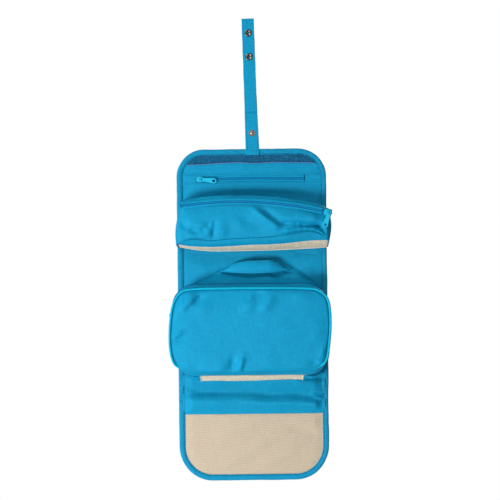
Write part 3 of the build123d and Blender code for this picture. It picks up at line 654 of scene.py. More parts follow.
def levels(high, low, inset, step):
    """Heights down a panel, with more of them where a round corner turns quickly."""
    turns = np.sin(np.linspace(0, np.pi / 2, 13))
    upper = TOP - CORNER_TOP + (CORNER_TOP - inset) * turns
    lower = BOTTOM + CORNER_BOTTOM - (CORNER_BOTTOM - inset) * turns
    even = np.linspace(high, low, int(round((high - low) / step)) + 1)
    every = np.unique(np.round(np.concatenate([even, upper, lower]), 3))[::-1]
    every = every[(every <= high + 1e-6) & (every >= low - 1e-6)]
    keep = [every[0]]
    for z in every[1:-1]:
        if keep[-1] - z > 0.35:
            keep.append(z)
    return np.array(keep + [every[-1]])


def panel_grid(high, low, depth, step):
    """A sheet that fills the body's outline between two heights; depth gives its surface's Y."""
    z = levels(high, low, PANEL_INSET, step)[:, None]
    x = np.linspace(-1, 1, int(2 * (BODY_HALF - PANEL_INSET) / step) + 1) * half_width(z, PANEL_INSET)
    return xyz(x, depth(x, z + 0 * x), z)


def panel_sheet(name, high, low, depth, material, thickness, step=2.5):
    """A panel's cloth, facing forwards."""
    return cloth(name, panel_grid(high, low, depth, step), material, thickness, flat=True)


# ------------------------------------------------------------------ lining
BAND_PROFILE = (  # depth of the slack band under the box pouch: two rolls with a valley between them
    (-526.0, 2.2), (-522.0, 1.8), (-516.0, 0.2), (-509.0, -2.0), (-503.0, -3.2), (-499.0, -3.0),
    (-494.0, -1.0), (-490.0, 1.2), (-486.5, 2.2), (-483.0, 1.6), (-476.0, -0.4), (-469.0, -2.4),
    (-463.0, -3.6), (-459.5, -2.6), (-457.0, -0.6),
)
BAND_DROP = ((-123.0, 2.5), (-90.0, 1.0), (-40.0, 0.0), (0.0, -1.0), (25.0, -4.5), (60.0, -3.5),
             (85.0, -6.5), (123.0, -10.0))
BAND_PUCKERS = (
    ((116, -487), (92, -489), 3.0, 2.2), ((116, -499), (96, -494), 3.2, 2.4),
    ((117, -493), (98, -492), 2.0, -1.6), ((-116, -484), (-96, -486), 2.6, 1.6),
    ((60, -470), (108, -476), 5.0, 1.2), ((20, -500), (70, -507), 6.0, 1.2),
)
LINING_RIDGES = (
    ((-60, -118), (70, -122), 9.0, 0.9), ((-18, -112), (-10, -128), 7.0, 1.2),
    ((40, -112), (46, -128), 8.0, 1.0), ((-112, -258), (-40, -259), 1.8, -0.9),
    ((70, -260), (112, -261), 2.4, -1.3), ((96, -262), (108, -262), 3.4, -1.4),
    ((-106, -270), (-66, -290), 9.0, 1.0), ((76, -276), (108, -296), 9.0, 1.0),
)


POCKET_SWELL = ZIP_Z - 13.0  # the flat pocket's cloth stands forward here, above the pouch's seam


def lining_depth(x, z):
    """Y of the lining: close to the panel, sewn flat at its edges, slack in the band below the box."""
    sewn = smooth((BODY_HALF - BINDING_WIDTH - 1 - np.abs(x)) / 20)
    rise = 0.45 + 0.5 * waves(x, z, 52, 3) + 0.25 * waves(x, z, 19, 4)
    y = LINING_Y - sewn * rise - sewn * ridges(x, z, LINING_RIDGES)
    y = y + 0.6 * bell(BODY_HALF - np.abs(x), BINDING_WIDTH + 0.9, 0.9)
    middle = np.clip(1 - (x / 105) ** 2, 0, 1)
    y = y - sewn * (0.6 + 1.6 * middle) * bell(z, POCKET_SWELL, 8.0)
    y = y + sewn * 1.2 * middle * bell(z, POCKET_SWELL - 17, 8.0)
    y = y + sewn * 1.3 * middle * bell(z, FOLD_UPPER + 2, 9.0)
    shift = curve(x, BAND_DROP) * smooth((z + 516) / 16)
    band = curve(z - shift, BAND_PROFILE) - LINING_Y
    strength = 0.35 + 0.65 * smooth((BODY_HALF - BINDING_WIDTH - np.abs(x)) / 14)
    slack = 1.0 + 0.22 * waves(x, z, 34, 8)
    inside = (z < -456) & (z > -526)
    return y + np.where(inside, 1.5 * band * strength * slack - ridges(x, z, BAND_PUCKERS), 0.0)


FLAP_RIDGES = (
    ((-70, -560), (10, -538), 9.0, 1.3), ((-60, -612), (30, -566), 11.0, 1.5),
    ((0, -616), (80, -570), 12.0, 1.4), ((54, -548), (112, -558), 8.0, -1.5),
    ((60, -536), (112, -538), 6.0, 0.9),
)


def flap_depth(x, z):
    """Y of the flap's beige lining, which is a little full between its bindings."""
    sewn = smooth((half_width(z) - BINDING_WIDTH + 1 - np.abs(x)) / 16)
    sewn = sewn * smooth((z - BOTTOM - BINDING_WIDTH) / 14)
    top = smooth((FOLD_FLAP - z) / 3.0)
    rise = 1.0 + 0.7 * waves(x, z, 38, 11) + ridges(x, z, FLAP_RIDGES)
    return LINING_Y + 0.3 - sewn * top * rise


def make_linings():
    """The inner cloths: above the flat zip, behind the pouches to the box, the slack band, the flap."""
    lengths = (  # name, its ends, grid step, bodies and the fold between, node, flat height, how held
        ("lining_above_zip", TOP - 6, ZIP_Z + ZIP_ROW, 2.5, ("top_section",), None,
         "top_lining", 0.038, "stretched", ["top_padding"]),
        ("lining_upper", ZIP_Z - ZIP_ROW, MIDWAY, 2.5, ("top_section", "mid_section"), FOLD_UPPER,
         "top_pocket_bag", 0.224, "stretched", ["top_padding", "mid_padding"]),
        ("lining_lower", MIDWAY, BAND_TOP, 2.5, ("mid_section",), None,
         "mid_lining", 0.102, "hung", ["mid_padding"]),
        ("lining_band", BAND_TOP, FOLD_FLAP, 1.6, ("mid_section", "spine"), FOLD_LOWER,
         "spine_lining", 0.066, "hung", ["spine_padding"]),
    )
    for name, high, low, step, bodies, fold, node, height, held, under in lengths:
        piece = panel_sheet(name, high, low, lining_depth, PANEL_BLUE, 0.6, step)
        if fold is None:
            fix(piece, bodies[0], "lining_fabric", node)
        else:
            bend_over(piece, bodies, LINING_Y, fold, "lining_fabric", node)
    flap = panel_sheet("lining_flap", FOLD_FLAP + 0.5, BOTTOM + 6, flap_depth, BEIGE, 0.7)
    fix(flap, "flap", "beige_fabric", "flap_lining")


# ------------------------------------------------------------------ shell
def shell_depth(x, z):
    """Y of the outer cloth, filled out a little by the foam and dented along the fold lines."""
    sewn = smooth((half_width(z) - BINDING_WIDTH + 1 - np.abs(x)) / 18)
    ends = smooth((TOP - BINDING_WIDTH - z) / 18) * smooth((z - BOTTOM - BINDING_WIDTH) / 18)
    dents = sum(bell(z, line, 3.0) for line in (FOLD_UPPER, FOLD_LOWER, FOLD_FLAP))
    fill = 1.3 + 0.5 * waves(x, z, 60, 21) + 0.25 * waves(x, z, 22, 22)
    return SHELL_Y - 0.6 + sewn * ends * (fill - 1.1 * dents)


def make_shells():
    """The outer cloth with its foam, in three lengths that each span one fold line."""
    for name, high, low, bodies, fold, nodes in (
        ("shell_upper", TOP - 6, MIDWAY, ("top_section", "mid_section"), FOLD_UPPER,
         ("top_shell", "top_padding")),
        ("shell_lower", MIDWAY, SPINE_SPLIT, ("mid_section", "spine"), FOLD_LOWER,
         ("mid_shell", "mid_padding")),
        ("shell_flap", SPINE_SPLIT, BOTTOM + 6, ("spine", "flap"), FOLD_FLAP,
         ("spine_shell", "spine_padding", "flap_shell", "flap_padding")),
    ):
        grid = panel_grid(high, low, shell_depth, 3.5)
        piece = cloth(name, grid, FABRIC_BLUE, 2.4, BACKWARDS, flat=True)
        bend_over(piece, bodies, SHELL_Y, fold, "shell_fabric", *nodes)


# ------------------------------------------------------------------ binding
BINDING_SECTION = (  # inset from the outer edge, depth: a tape folded over the panel's edge
    (10.0, 2.05), (9.9, 1.5), (9.4, 1.2), (8.8, 1.28), (8.3, 1.62), (7.7, 1.28), (6.4, 0.95),
    (4.8, 0.72), (3.2, 0.74), (1.8, 1.02), (0.8, 1.6), (0.2, 2.5), (0.0, 3.9), (0.2, 5.3),
    (0.8, 6.3), (2.0, 6.9), (4.0, 7.1), (6.4, 7.0), (7.7, 6.85), (8.3, 6.6), (8.9, 6.75),
    (9.6, 6.7), (10.0, 6.4), (9.8, 5.95), (6.0, 5.8), (2.2, 5.4), (1.7, 3.9), (2.2, 2.5),
    (6.0, 2.15),
)
STITCH_INSET = 8.45
STITCH_DEPTH = 1.05  # clear of the groove that the stitches lie in
BINDING_CREASES = (  # side, height, width: where the tape is nipped by the folds of the panel
    (-1, -482.5, 1.1), (1, -486.5, 1.0), (1, -492.0, 1.0), (1, -498.0, 1.2), (-1, -262.0, 1.2),
    (1, -262.5, 1.2), (-1, -99.0, 1.4), (1, -101.0, 1.4),
)


def arc(centre_x, centre_z, radius, start, end, step=3.0):
    """Points of an arc in the XZ plane; angles in degrees, anticlockwise from +X."""
    count = max(3, int(abs(math.radians(end - start)) * radius / step) + 1)
    turn = np.radians(np.linspace(start, end, count))
    return np.stack([centre_x + radius * np.cos(turn), centre_z + radius * np.sin(turn)], -1)


def line(start, end, step=3.0):
    """Evenly spaced points of a straight line."""
    start, end = np.array(start, float), np.array(end, float)
    count = max(2, int(np.linalg.norm(end - start) / step) + 1)
    return np.linspace(start, end, count)


def joined(*runs):
    """Runs of points end to end, without the repeated ends."""
    return np.concatenate([runs[0], *(run[1:] for run in runs[1:])])


def edge_paths():
    """The body's outer edge, clockwise from the front, split where the long cloths are split."""
    half, rt, rb = BODY_HALF, CORNER_TOP, CORNER_BOTTOM
    return {
        "top": joined(
            line((-half, MIDWAY), (-half, TOP - rt)),
            arc(-half + rt, TOP - rt, rt, 180, 90),
            line((-half + rt, TOP), (half - rt, TOP)),
            arc(half - rt, TOP - rt, rt, 90, 0),
            line((half, TOP - rt), (half, MIDWAY)),
        ),
        "right": line((half, MIDWAY), (half, SPINE_SPLIT)),
        "left": line((-half, SPINE_SPLIT), (-half, MIDWAY)),
        "bottom_right": joined(
            line((half, SPINE_SPLIT), (half, BOTTOM + rb)),
            arc(half - rb, BOTTOM + rb, rb, 0, -90),
            line((half - rb, BOTTOM), (LAP_X, BOTTOM)),
        ),
        "bottom_left": joined(
            line((LAP_X + 6, BOTTOM), (-half + rb, BOTTOM)),
            arc(-half + rb, BOTTOM + rb, rb, -90, -180),
            line((-half, BOTTOM + rb), (-half, SPINE_SPLIT)),
        ),
    }


def inward(path):
    """The direction from the outer edge into the panel, for a path that runs clockwise."""
    along = tangents(path)
    return np.stack([along[:, 1], -along[:, 0]], -1)


def binding_grid(path, lift=0.0):
    """The binding's section carried along the edge, with the unevenness of hand-guided sewing."""
    into = inward(path)
    inset, depth = np.array(BINDING_SECTION).T
    x, z = path[:, :1], path[:, 1:]
    front = depth < 3.5
    crown = bell(inset, 5, 3.5)
    puff = 0.14 * waves(x, z, 9, 33) * crown
    raised = depth - np.where(front, puff + lift, -puff - lift)
    for side, height, width in BINDING_CREASES:
        nip = bell(z, height, width) * (np.sign(x) == side)
        raised = raised + np.where(front, 0.55, -0.4) * nip * bell(inset, 5, 5)
    wander = 0.35 * waves(x, z, 31, 31) + 0.2 * waves(x, z, 11, 32)
    reach = inset + wander * (inset < 9.0)
    return xyz(x + into[:, :1] * reach, raised, z + into[:, 1:] * reach)


def binding_stitches(path, depth, normal=FORWARDS):
    """A row of stitches along the binding's inner edge."""
    path = resample(path, 2.0)
    spot = path + inward(path) * STITCH_INSET
    return xyz(spot[:, 0], depth, spot[:, 1]), np.tile(np.array(normal, float), (len(path), 1))


def make_bindings():
    """The folded edge tape, its end lapped over its start at the bottom, and its stitching."""
    spans = (  # name, bodies, the fold between them, CAD nodes, rise of the lapped end
        ("top", ("top_section", "mid_section"), FOLD_UPPER, ("top_binding",), 0.0),
        ("right", ("mid_section", "spine"), FOLD_LOWER, ("mid_bindings",), 0.0),
        ("left", ("mid_section", "spine"), FOLD_LOWER, (), 0.0),
        ("bottom_right", ("spine", "flap"), FOLD_FLAP, ("spine_bindings", "flap_binding"), 0.45),
        ("bottom_left", ("spine", "flap"), FOLD_FLAP, (), 0.0),
    )
    paths = edge_paths()
    for name, bodies, fold, nodes, lift in spans:
        path = resample(paths[name], 2.6)
        lifts = lift * smooth((BOTTOM + 40 - path[:, 1:]) / 30)
        grid = binding_grid(path, lifts)
        piece = grid_piece(f"binding_{name}", grid, BINDING_BLUE, wrap=True, caps=True)
        sewn = stitches(
            f"binding_{name}_stitches",
            [binding_stitches(paths[name], STITCH_DEPTH),
             binding_stitches(paths[name], BINDING_BACK_Y + 0.05, BACKWARDS)],
            THREAD_DARK, pitch=4.0, length=2.6, thread=0.4,
        )
        bend_over(piece, bodies, LINING_Y, fold, "binding_tape", *nodes)
        bend_over(sewn, bodies, LINING_Y, fold, "binding_tape")


# ------------------------------------------------------------------ loop tape and flat zip
LOOP_WAVE = ((-114, -114.2), (-96, -113.4), (-74, -112.6), (-46, -111.2), (-18, -110.2), (-5, -111.4),
             (20, -111.4), (39, -110.4), (63, -111.2), (86, -111.4), (114, -113.0))


def make_loop_tape():
    """Soft loop tape that follows the top binding, with a selvage along its uneven lower edge."""
    x = np.linspace(-1, 1, 110) * 113.2
    low = curve(x, LOOP_WAVE)
    corner = CORNER_TOP - BINDING_WIDTH + 0.4
    over = np.clip(np.abs(x) - (BODY_HALF - CORNER_TOP), 0, corner)
    ceiling = np.minimum(TOP - CORNER_TOP + np.sqrt(corner**2 - over**2), TOP - BINDING_WIDTH - 0.2)
    keep = ceiling > low + 0.8
    x, low, ceiling = x[keep], low[keep], ceiling[keep]
    z = ceiling + (low - ceiling) * np.linspace(0, 1, 14)[:, None]
    grid = xyz(x, lining_depth(x, z) - 0.9 - 0.18 * waves(x, z, 2.2, 41), z)
    pad = thicken(grid_piece("loop_pile", facing(grid, FORWARDS), LOOP_PILE), 0.9)
    edge = facing(grid, FORWARDS)[-1] + np.array([0, -0.05, 0])
    selvage = tube("loop_selvage", resample(edge, 2.0), 0.55, LOOP_EDGE, sides=6)
    sewn = stitches("loop_stitches", [flat_row(edge + np.array([0, -0.35, 1.5]))], THREAD_DARK)
    fix(pad, "top_section", "loop_fastener", "loop_tape")
    for piece in (selvage, sewn):
        fix(piece, "top_section", "loop_fastener")


RIB = 1.25  # pitch of a zip's teeth


def coil_grid(path, across, out, height=1.3):
    """Half a zip's coil along a path: ribs that rise from the tape, with heads at the centre line."""
    inner, outer = 0.1, 1.75
    shape = np.array([
        (inner, 0.05), (inner, 0.62), (0.5, 0.98), (0.9, 1.0), (1.25, 0.98), (1.6, 0.72),
        (outer, 0.25), (outer, -0.1), (inner, -0.1),
    ])
    at = distances(path)[:, None]
    lift = shape[:, 1] * height * (0.80 + 0.20 * np.cos(2 * np.pi * at / RIB))
    grid = path[:, None] + across[:, None] * shape[:, :1] + out[:, None] * lift[..., None]
    uv = np.stack(np.broadcast_arrays(np.append(shape[:, 0], inner), at), -1)
    return grid, uv


def zip_half(name, path, across, out, tape_edge, body, tape_node=None, coil_node=None, round_box=False):
    """One side of a zip on one body: its coil, and its tape, which cups a little if it lies flat."""
    across, out = np.broadcast_to(across, path.shape), np.broadcast_to(out, path.shape)
    grid, uv = coil_grid(path, across, out)
    coil = grid_piece(f"{name}_coil", grid, COIL, wrap=True, caps=True, uv=uv)
    fix(coil, body, "zip_coil", *filter(None, [coil_node]))
    sparse = slice(None, None, 6)
    reach = np.linspace(0.9, tape_edge, 7)[:, None, None]
    rise = (0.0 if round_box else 0.12) * np.cos((reach - 0.9) / (tape_edge - 0.9) * np.pi)
    ribbon = path[sparse] + across[sparse] * reach + out[sparse] * rise
    tape = cloth(f"{name}_tape", ribbon, TAPE_CYAN, 0.5, None if round_box else out[0])
    fix(tape, body, "zip_tape", *filter(None, [tape_node]))


def flat_zip_bow(x):
    """How far the flat zip's line bows up between its ends."""
    return 1.2 * np.sin(np.pi * np.clip((x - ZIP_LEFT) / (ZIP_RIGHT - ZIP_LEFT), 0, 1)) ** 2


def make_flat_zip():
    """The flat pocket's zip: tapes, coils, the turned-in edges of the lining, end tabs, bar tack."""
    x = np.linspace(ZIP_LEFT, ZIP_RIGHT, 60)
    path = resample(xyz(x, ZIP_Y, ZIP_Z + flat_zip_bow(x)), RIB / 4)
    reach = BODY_HALF - BINDING_WIDTH + 2
    x = np.linspace(-reach, reach, 100)
    across = np.array([0.0, 0.5, 1.2, 2.4, 3.6, 4.8, 5.6])[:, None]
    lift = np.array([0.5, 0.8, 0.9, 0.65, 0.8, 0.5, 0.0])[:, None]
    sides = (("upper", 1.0), ("lower", -1.0))
    for name, side in sides:
        zip_half(
            f"flat_zip_{name}", path, (0, 0, side), FORWARDS, ZIP_ROW + 1.5, "top_section",
            f"top_tape_{name}", f"top_coil_{name}",
        )
    rows = []
    for name, side in sides:
        z = ZIP_Z + side * (ZIP_ROW - 1.6 + across) + flat_zip_bow(x)
        grid = xyz(x, lining_depth(x, z) - lift, z)
        hem = cloth(f"flat_zip_hem_{name}", grid, PANEL_BLUE, 0.7, flat=True)
        fix(hem, "top_section", "lining_fabric")
        rows.append(flat_row(grid[3] + np.array([0, -0.05, 0])))
    sewn = stitches("flat_zip_stitches", rows, THREAD_DARK, thread=0.24)
    fix(sewn, "top_section", "zip_tape")

    inner, tab_half = BODY_HALF - BINDING_WIDTH + 3, ZIP_ROW + 2.2
    for name, low, high, nodes in (
        ("left", -inner, ZIP_LEFT + 1.0, ("top_zip_tabs",)), ("right", ZIP_RIGHT - 1.0, inner, ()),
    ):
        x, z = np.meshgrid(np.linspace(low, high, 14), ZIP_Z + np.linspace(tab_half, -tab_half, 16))
        rim = smooth((tab_half - np.abs(z - ZIP_Z)) / 2.0)
        y = lining_depth(x, z) + 0.25 - 0.45 * rim - 0.1 * waves(x, z, 9, 44)
        tab = cloth(f"flat_zip_tab_{name}", xyz(x, y, z), PANEL_BLUE, 0.3, flat=True)
        fix(tab, "top_section", "lining_fabric", *nodes)

    step = np.arange(26)
    swing = np.where(step % 2, -0.75, 0.75)
    zigzag = xyz(ZIP_RIGHT - 1.2 + swing, ZIP_Y - 1.35, ZIP_Z + 7.4 - step * 0.58)
    tack = tube("flat_zip_bar_tack", zigzag, 0.42, THREAD_DARK, sides=6)
    fix(tack, "top_section", "zip_tape")


# ------------------------------------------------------------------ strap
def strap_piece(name, width, low, high, front, back, seed, fold_line=True, flare=0.0):
    """A folded length of strap: soft rounded edges, sewn down near each edge."""
    half = width / 2
    u = np.concatenate([np.linspace(-1, 1, 25), [1, 1], np.linspace(1, -1, 13), [-1, -1]])
    share = np.concatenate([np.zeros(25), [0.35, 0.7], np.ones(13), [0.7, 0.35]])  # 0 front, 1 back
    x = u * np.where((share > 0) & (share < 1), half, half - 0.35)
    edge = half - np.abs(x)
    groove = 0.16 * bell(edge, 2.3, 0.5) - 0.10 * bell(edge, 1.0, 0.8)
    if fold_line:
        groove = groove + 0.12 * bell(x, half - 3.1, 0.4)
    surface = front + (back - front) * share + groove * np.where(share == 1, -1, share == 0)
    z = np.linspace(high, low, int((high - low) / 2.2) + 1)[:, None]
    wider = 1 + flare * smooth((high - z) / (high - low))
    sway = 0.22 * waves(z, 0, 17, seed + 1)
    grid = xyz(x * wider + sway, surface + 0.25 * waves(seed, z, 26, seed), z)
    uv = np.stack(np.broadcast_arrays(np.append(x, x[0]), z), -1)
    return grid_piece(name, rotate_y(grid, STRAP_LEAN), STRAP_BLUE, wrap=True, caps=True, uv=uv)


def strap_rows(half, top, bottom, crossings, depth):
    """Rows of stitches near the strap's two edges, and rows that cross it at some heights."""
    lines = [((side * half, depth + 0.08, top), (side * half, depth + 0.08, bottom)) for side in (1, -1)]
    lines += [((-half, depth, z), (half, depth, z)) for z in crossings]
    rows = [flat_row(ends) for ends in lines]
    return [(rotate_y(points, STRAP_LEAN), normals) for points, normals in rows]


def make_strap():
    """Two lengths of strap, sewn together below the fold line, and the springs in the press studs."""
    lower = strap_piece(
        "strap_lower_cloth", 20.6, STRAP_BOTTOM, -0.6, STRAP_MIDDLE, STRAP_BACK, 51,
        fold_line=False, flare=0.09,
    )
    fix(lower, "top_section", "strap_webbing", "strap_lower")
    upper = strap_piece("strap_upper_cloth", 20.3, -28.0, STRAP_TOP, STRAP_FRONT, STRAP_MIDDLE, 52)
    crossings = (STRAP_TOP - 2.5, 24.6, -13.0, -25.4)
    rows = strap_rows(7.85, STRAP_TOP - 3, -26, crossings, STRAP_FRONT + 0.02)
    sewn = stitches("strap_upper_stitches", rows, THREAD_PALE, thread=0.2)
    for piece, nodes in ((upper, ("strap_upper", "strap_upper_tail")), (sewn, ())):
        bend(piece, ("top_section", "strap_end"), (0, -7), (0, 7), "strap_webbing", *nodes)
    rows = strap_rows(8.45, -30, STRAP_BOTTOM + 2, (-91.0,), STRAP_MIDDLE + 0.02)
    sewn = stitches("strap_lower_stitches", rows, THREAD_BLUE, thread=0.22)
    fix(sewn, "top_section", "strap_webbing")

    depth = corners("snap_sockets")[0][1] + 1.15
    t = np.linspace(-1, 1, 17)
    for index, centre in enumerate(SOCKET_HEIGHTS):
        for end, side in (("a", -1), ("b", 1)):
            points = xyz(3.3 * t, depth, centre + side * (1.25 + 0.35 * np.cos(np.pi * t)))
            points = rotate_y(points, STRAP_LEAN)
            wire = tube(f"snap_spring_{index}_{end}", points, 0.45, OLD_NICKEL, sides=6)
            fix(wire, "strap_end", "snap_metal")


# ------------------------------------------------------------------ swinging pouch
def arc_height(x, radius):
    """Height of a circle about the pouch zip's centre at x."""
    return ARC_Z + np.sqrt(radius**2 - (x - ARC_X) ** 2)


def arc_path(left, right, radius, y):
    """Points along a circle about the pouch zip's centre."""
    x = np.linspace(left, right, int((right - left) / 2.0) + 1)
    return xyz(x, y, arc_height(x, radius))


def fullness(x):
    """How much of its full crown the pouch's top keeps at x: it sinks towards both ends."""
    return 0.55 + 0.45 * smooth((POUCH_HALF + 6 - np.abs(x)) / 26)


SEAM = (  # height of the front's lower seam across the pouch
    (-127, -243.5), (-117, -241.0), (-106, -237.0), (-93, -235.0), (-78, -236.6), (-65, -238.0),
    (-45, -236.4), (-19, -234.8), (10, -233.6), (37, -232.0), (58, -229.0), (74, -226.0),
    (92, -224.4), (106, -227.0), (117, -234.5), (127, -246.0),
)
TOP_PROFILE = (  # radius beyond the zip's arc, depth: from the front hem over the top to the back
    (4.6, -35.9), (5.4, -36.3), (6.3, -35.4), (6.9, -33.6), (7.4, -34.0), (8.3, -33.2), (8.9, -31.2),
    (9.4, -31.4), (10.4, -29.6), (11.2, -26.0), (11.6, -21.0), (11.4, -15.0), (11.0, -9.0),
    (10.4, -4.0), (9.6, -0.6),
)
FRONT_RIDGES = (
    # left: one long crease that dips and rises again, the roll below it, the upright fold beside it
    ((-124, -206), (-99, -218), 5.5, -3.0), ((-103, -217), (-82, -227), 5.0, -3.6),
    ((-86, -227), (-72, -218), 4.6, -3.6), ((-76, -221), (-66, -206), 5.0, -2.6),
    ((-110, -236), (-60, -222), 6.0, 3.0), ((-92, -208), (-78, -216), 8.0, 2.6),
    ((-58, -204), (-63, -236), 4.4, -3.2), ((-48, -212), (-46, -236), 8.0, 3.4),
    # middle: a tension fold that runs from the zip down to the right, and the hollows beside it
    ((0, -186), (46, -223), 5.5, 4.2), ((16, -188), (58, -217), 6.0, -3.6),
    ((-22, -196), (24, -228), 9.0, -2.4), ((-30, -204), (-10, -228), 9.0, 1.6),
    # right: the deep fold over the rolled lower edge
    ((46, -211), (78, -213), 4.0, -4.4), ((72, -213), (112, -217.0), 4.0, -6.0, 0.3),
    ((100, -214), (121, -229), 4.5, -4.5), ((50, -225), (84, -220.5), 3.4, 5.6),
    ((80, -220.5), (106, -222.0), 3.2, 6.2), ((102, -221.5), (118, -231), 3.2, 5.6),
    ((84, -200), (112, -206), 9.0, 2.6), ((116, -204), (124, -222), 6.0, 2.4),
)


def front_bulge(x, t):
    """How far the pouch's front stands forward of its seams, at t from the zip (0) to the seam (1)."""
    belly = np.sin(np.pi * np.clip(t, 0, 1) ** 0.85) * 5.5
    ends = smooth((POUCH_HALF + 4 - np.abs(x)) / 34)
    return belly * (0.35 + 0.65 * ends) + 0.9 * waves(x, t * 60, 30, 61)


POUCH_LEFT, POUCH_RIGHT = 122.4, 124.0  # how far the pouch's cloth reaches each way from the middle


def side_shape(v):
    """How far the pouch's right side bows outwards, at v from its top (0) to its foot (1)."""
    return 0.6 + 3.6 * np.sin(np.pi * np.clip(v, 0, 1)) ** 1.2


def left_draw(x, v):
    """Shift in x that narrows the pouch's left end towards its zip, fading out to the middle."""
    v = np.clip(v, 0, 1)
    at_edge = 6.0 - 6.6 * smooth(v / 0.7) + 1.0 * smooth((v - 0.75) / 0.25)
    return at_edge * smooth((-x - 62) / 58)


def front_columns():
    """Plan of the pouch's front and sides: back edge, round the left corner, across, back again."""
    front, radius = POUCH_ZIP_Y, 8.0
    turn = np.radians(np.linspace(180, 270, 9))
    left, right = (
        joined(
            np.linspace((-half, -1.5), (-half, front + radius), 10),
            np.stack([np.cos(turn), np.sin(turn)], -1) * radius + (-half + radius, front + radius),
        )
        for half in (POUCH_LEFT, POUCH_RIGHT)
    )
    right = right[::-1] * (-1, 1)
    return joined(left, np.linspace(left[-1], right[0], 132), right)


def make_pouch_front():
    """Front and sides in one cloth, from the zip down to the seam."""
    x, y = front_columns().T
    t = np.linspace(0, 1, 44)[:, None]
    in_front = smooth((POUCH_ZIP_Y + 12 - y) / 9)  # 1 on the front, 0 on the sides
    closed = 9.4 * smooth((-119.0 - x) / 2.5)  # beyond the zip's first teeth
    front_high = arc_height(np.clip(x, -124, 124), ARC_R - 4.2 + closed)
    radii, depths = np.array(sorted(TOP_PROFILE, key=lambda row: row[1])).T
    side_radius = ARC_R + 0.3 + 0.58 * np.interp(y, depths, radii)
    side_high = arc_height(np.clip(x, -122, 124), side_radius)
    high = side_high + (front_high - side_high) * in_front
    low_back = POUCH_LOW - 1.0
    depth_share = np.clip((y + 1.5) / (POUCH_ZIP_Y + 1.5), 0, 1)
    low = low_back + (curve(x, SEAM) - low_back) * smooth(depth_share * 1.1) ** 0.7
    z = high + (low - high) * t
    outward = side_shape(t) * (1 - 0.85 * in_front) * (x > 0) + left_draw(x, t)
    pleat = 0.5 * np.sin(y / 5.2) * (1 - in_front) * np.sin(np.pi * t) * np.sign(x)
    relief = ridges(x, z, FRONT_RIDGES) * in_front * smooth((121 - np.abs(x)) / 8)
    relief = relief * smooth(t / 0.12) * (1 - 0.55 * smooth((t - 0.94) / 0.06))
    tuck = 0.8 * smooth((t - 0.93) / 0.07)
    grid = xyz(x + outward + pleat, y - front_bulge(x, t) * in_front - relief + tuck, z)
    piece = cloth("pouch_front_cloth", grid, FABRIC_BLUE, 0.8)
    pouch_bend(piece, "shell_fabric", "pouch_front", "pouch_sides")


def pouch_bend(piece, slot, *nodes):
    """Cloth between the pouch's back, which swings, and its front, which opens."""
    start, end = (-3, MOUTH[2]), (POUCH_ZIP_Y + 4, MOUTH[2])
    bend(piece, ("pouch_body", "pouch_mouth"), start, end, slot, *nodes)


BASE_FRONT = (  # height of the beige base's front edge
    (-119, -244.0), (-108, -246.0), (-93, -247.4), (-72, -248.8), (-40, -247.8), (0, -246.2),
    (40, -245.0), (70, -242.4), (95, -240.0), (122, -239.4),
)
BASE_BACK = (
    (-122, -246.5), (-112, -248.8), (-101, -250.9), (-76, -254.0), (-20, -254.8), (37, -254.0),
    (95, -251.8), (125, -250.2),
)


def make_pouch_base():
    """The blue strip below the front seam, and the beige base behind it with its two hems."""
    x = np.linspace(3.5 - POUCH_HALF, POUCH_HALF - 1.0, 130)
    t = np.linspace(0, 1, 12)[:, None]
    roll = np.sin(np.pi * t) * smooth((POUCH_HALF + 2 - np.abs(x)) / 20)
    z = curve(x, SEAM) * (1 - t) + curve(x, BASE_FRONT) * t - 0.8 * roll
    y = (POUCH_ZIP_Y + 1.2) * (1 - t) + (MOUTH[1] - 0.6) * t - 1.3 * roll + 0.5 * waves(x, z, 18, 66)
    y[0] += 1.4
    band = cloth("pouch_hem_band", xyz(x, y, z), PANEL_BLUE, 0.8)
    pouch_bend(band, "shell_fabric")

    x = np.linspace(-119, 122.5, 122)
    t = np.linspace(0, 1, 16)[:, None]
    z = curve(x, BASE_FRONT) * (1 - t) + curve(x, BASE_BACK) * t - 1.5 * np.sin(np.pi * t)
    grid = xyz(x, (MOUTH[1] + 0.4) * (1 - t) - t - 0.3 * waves(x, z, 14, 67), z)
    base = cloth("pouch_base_cloth", grid, BEIGE_TWILL, 0.8, (0, -1, -1))
    fix(base, "pouch_body", "beige_fabric", "pouch_base")
    for name, row, rise in (("front", grid[0], 0.2), ("back", grid[-1], 0.0)):
        path = resample(row, 2.0) + (0, -0.2, rise)
        hem = tube(f"pouch_base_hem_{name}", path, 0.75, BEIGE_HEM)
        fix(hem, "pouch_body", "beige_fabric")


def make_pouch_top():
    """The crowned top gusset, with the soft creases that run along it, and the pouch's back."""
    x = np.linspace(-POUCH_HALF, POUCH_HALF + 1, 128)
    reach, depth = np.array(TOP_PROFILE).T[:, :, None]
    radius = ARC_R + reach * (fullness(x) + 0.05 * waves(x, 0, 24, 71))
    crease = 0.5 * waves(x, np.arange(len(reach))[:, None] * 14, 22, 72)
    grid = xyz(x + left_draw(x, 0.0), depth + crease, arc_height(x, radius))
    top = cloth("pouch_top_cloth", grid, FABRIC_BLUE, 0.8, (0, -0.3, 1))
    fix(top, "pouch_body", "shell_fabric", "pouch_top")

    x = np.linspace(-POUCH_HALF - 0.5, POUCH_HALF + 0.5, 100)
    t = np.linspace(0, 1, 40)[:, None]
    z = arc_height(x, ARC_R + BACK_SEAM * fullness(x)) * (1 - t) + curve(x, BASE_BACK) * t
    grid = xyz(x + left_draw(x, t), 0.2 + 0.35 * waves(x, z, 40, 73), z)
    back = cloth("pouch_back_cloth", grid, FABRIC_BLUE, 0.7, BACKWARDS)
    fix(back, "pouch_body", "shell_fabric", "pouch_back")


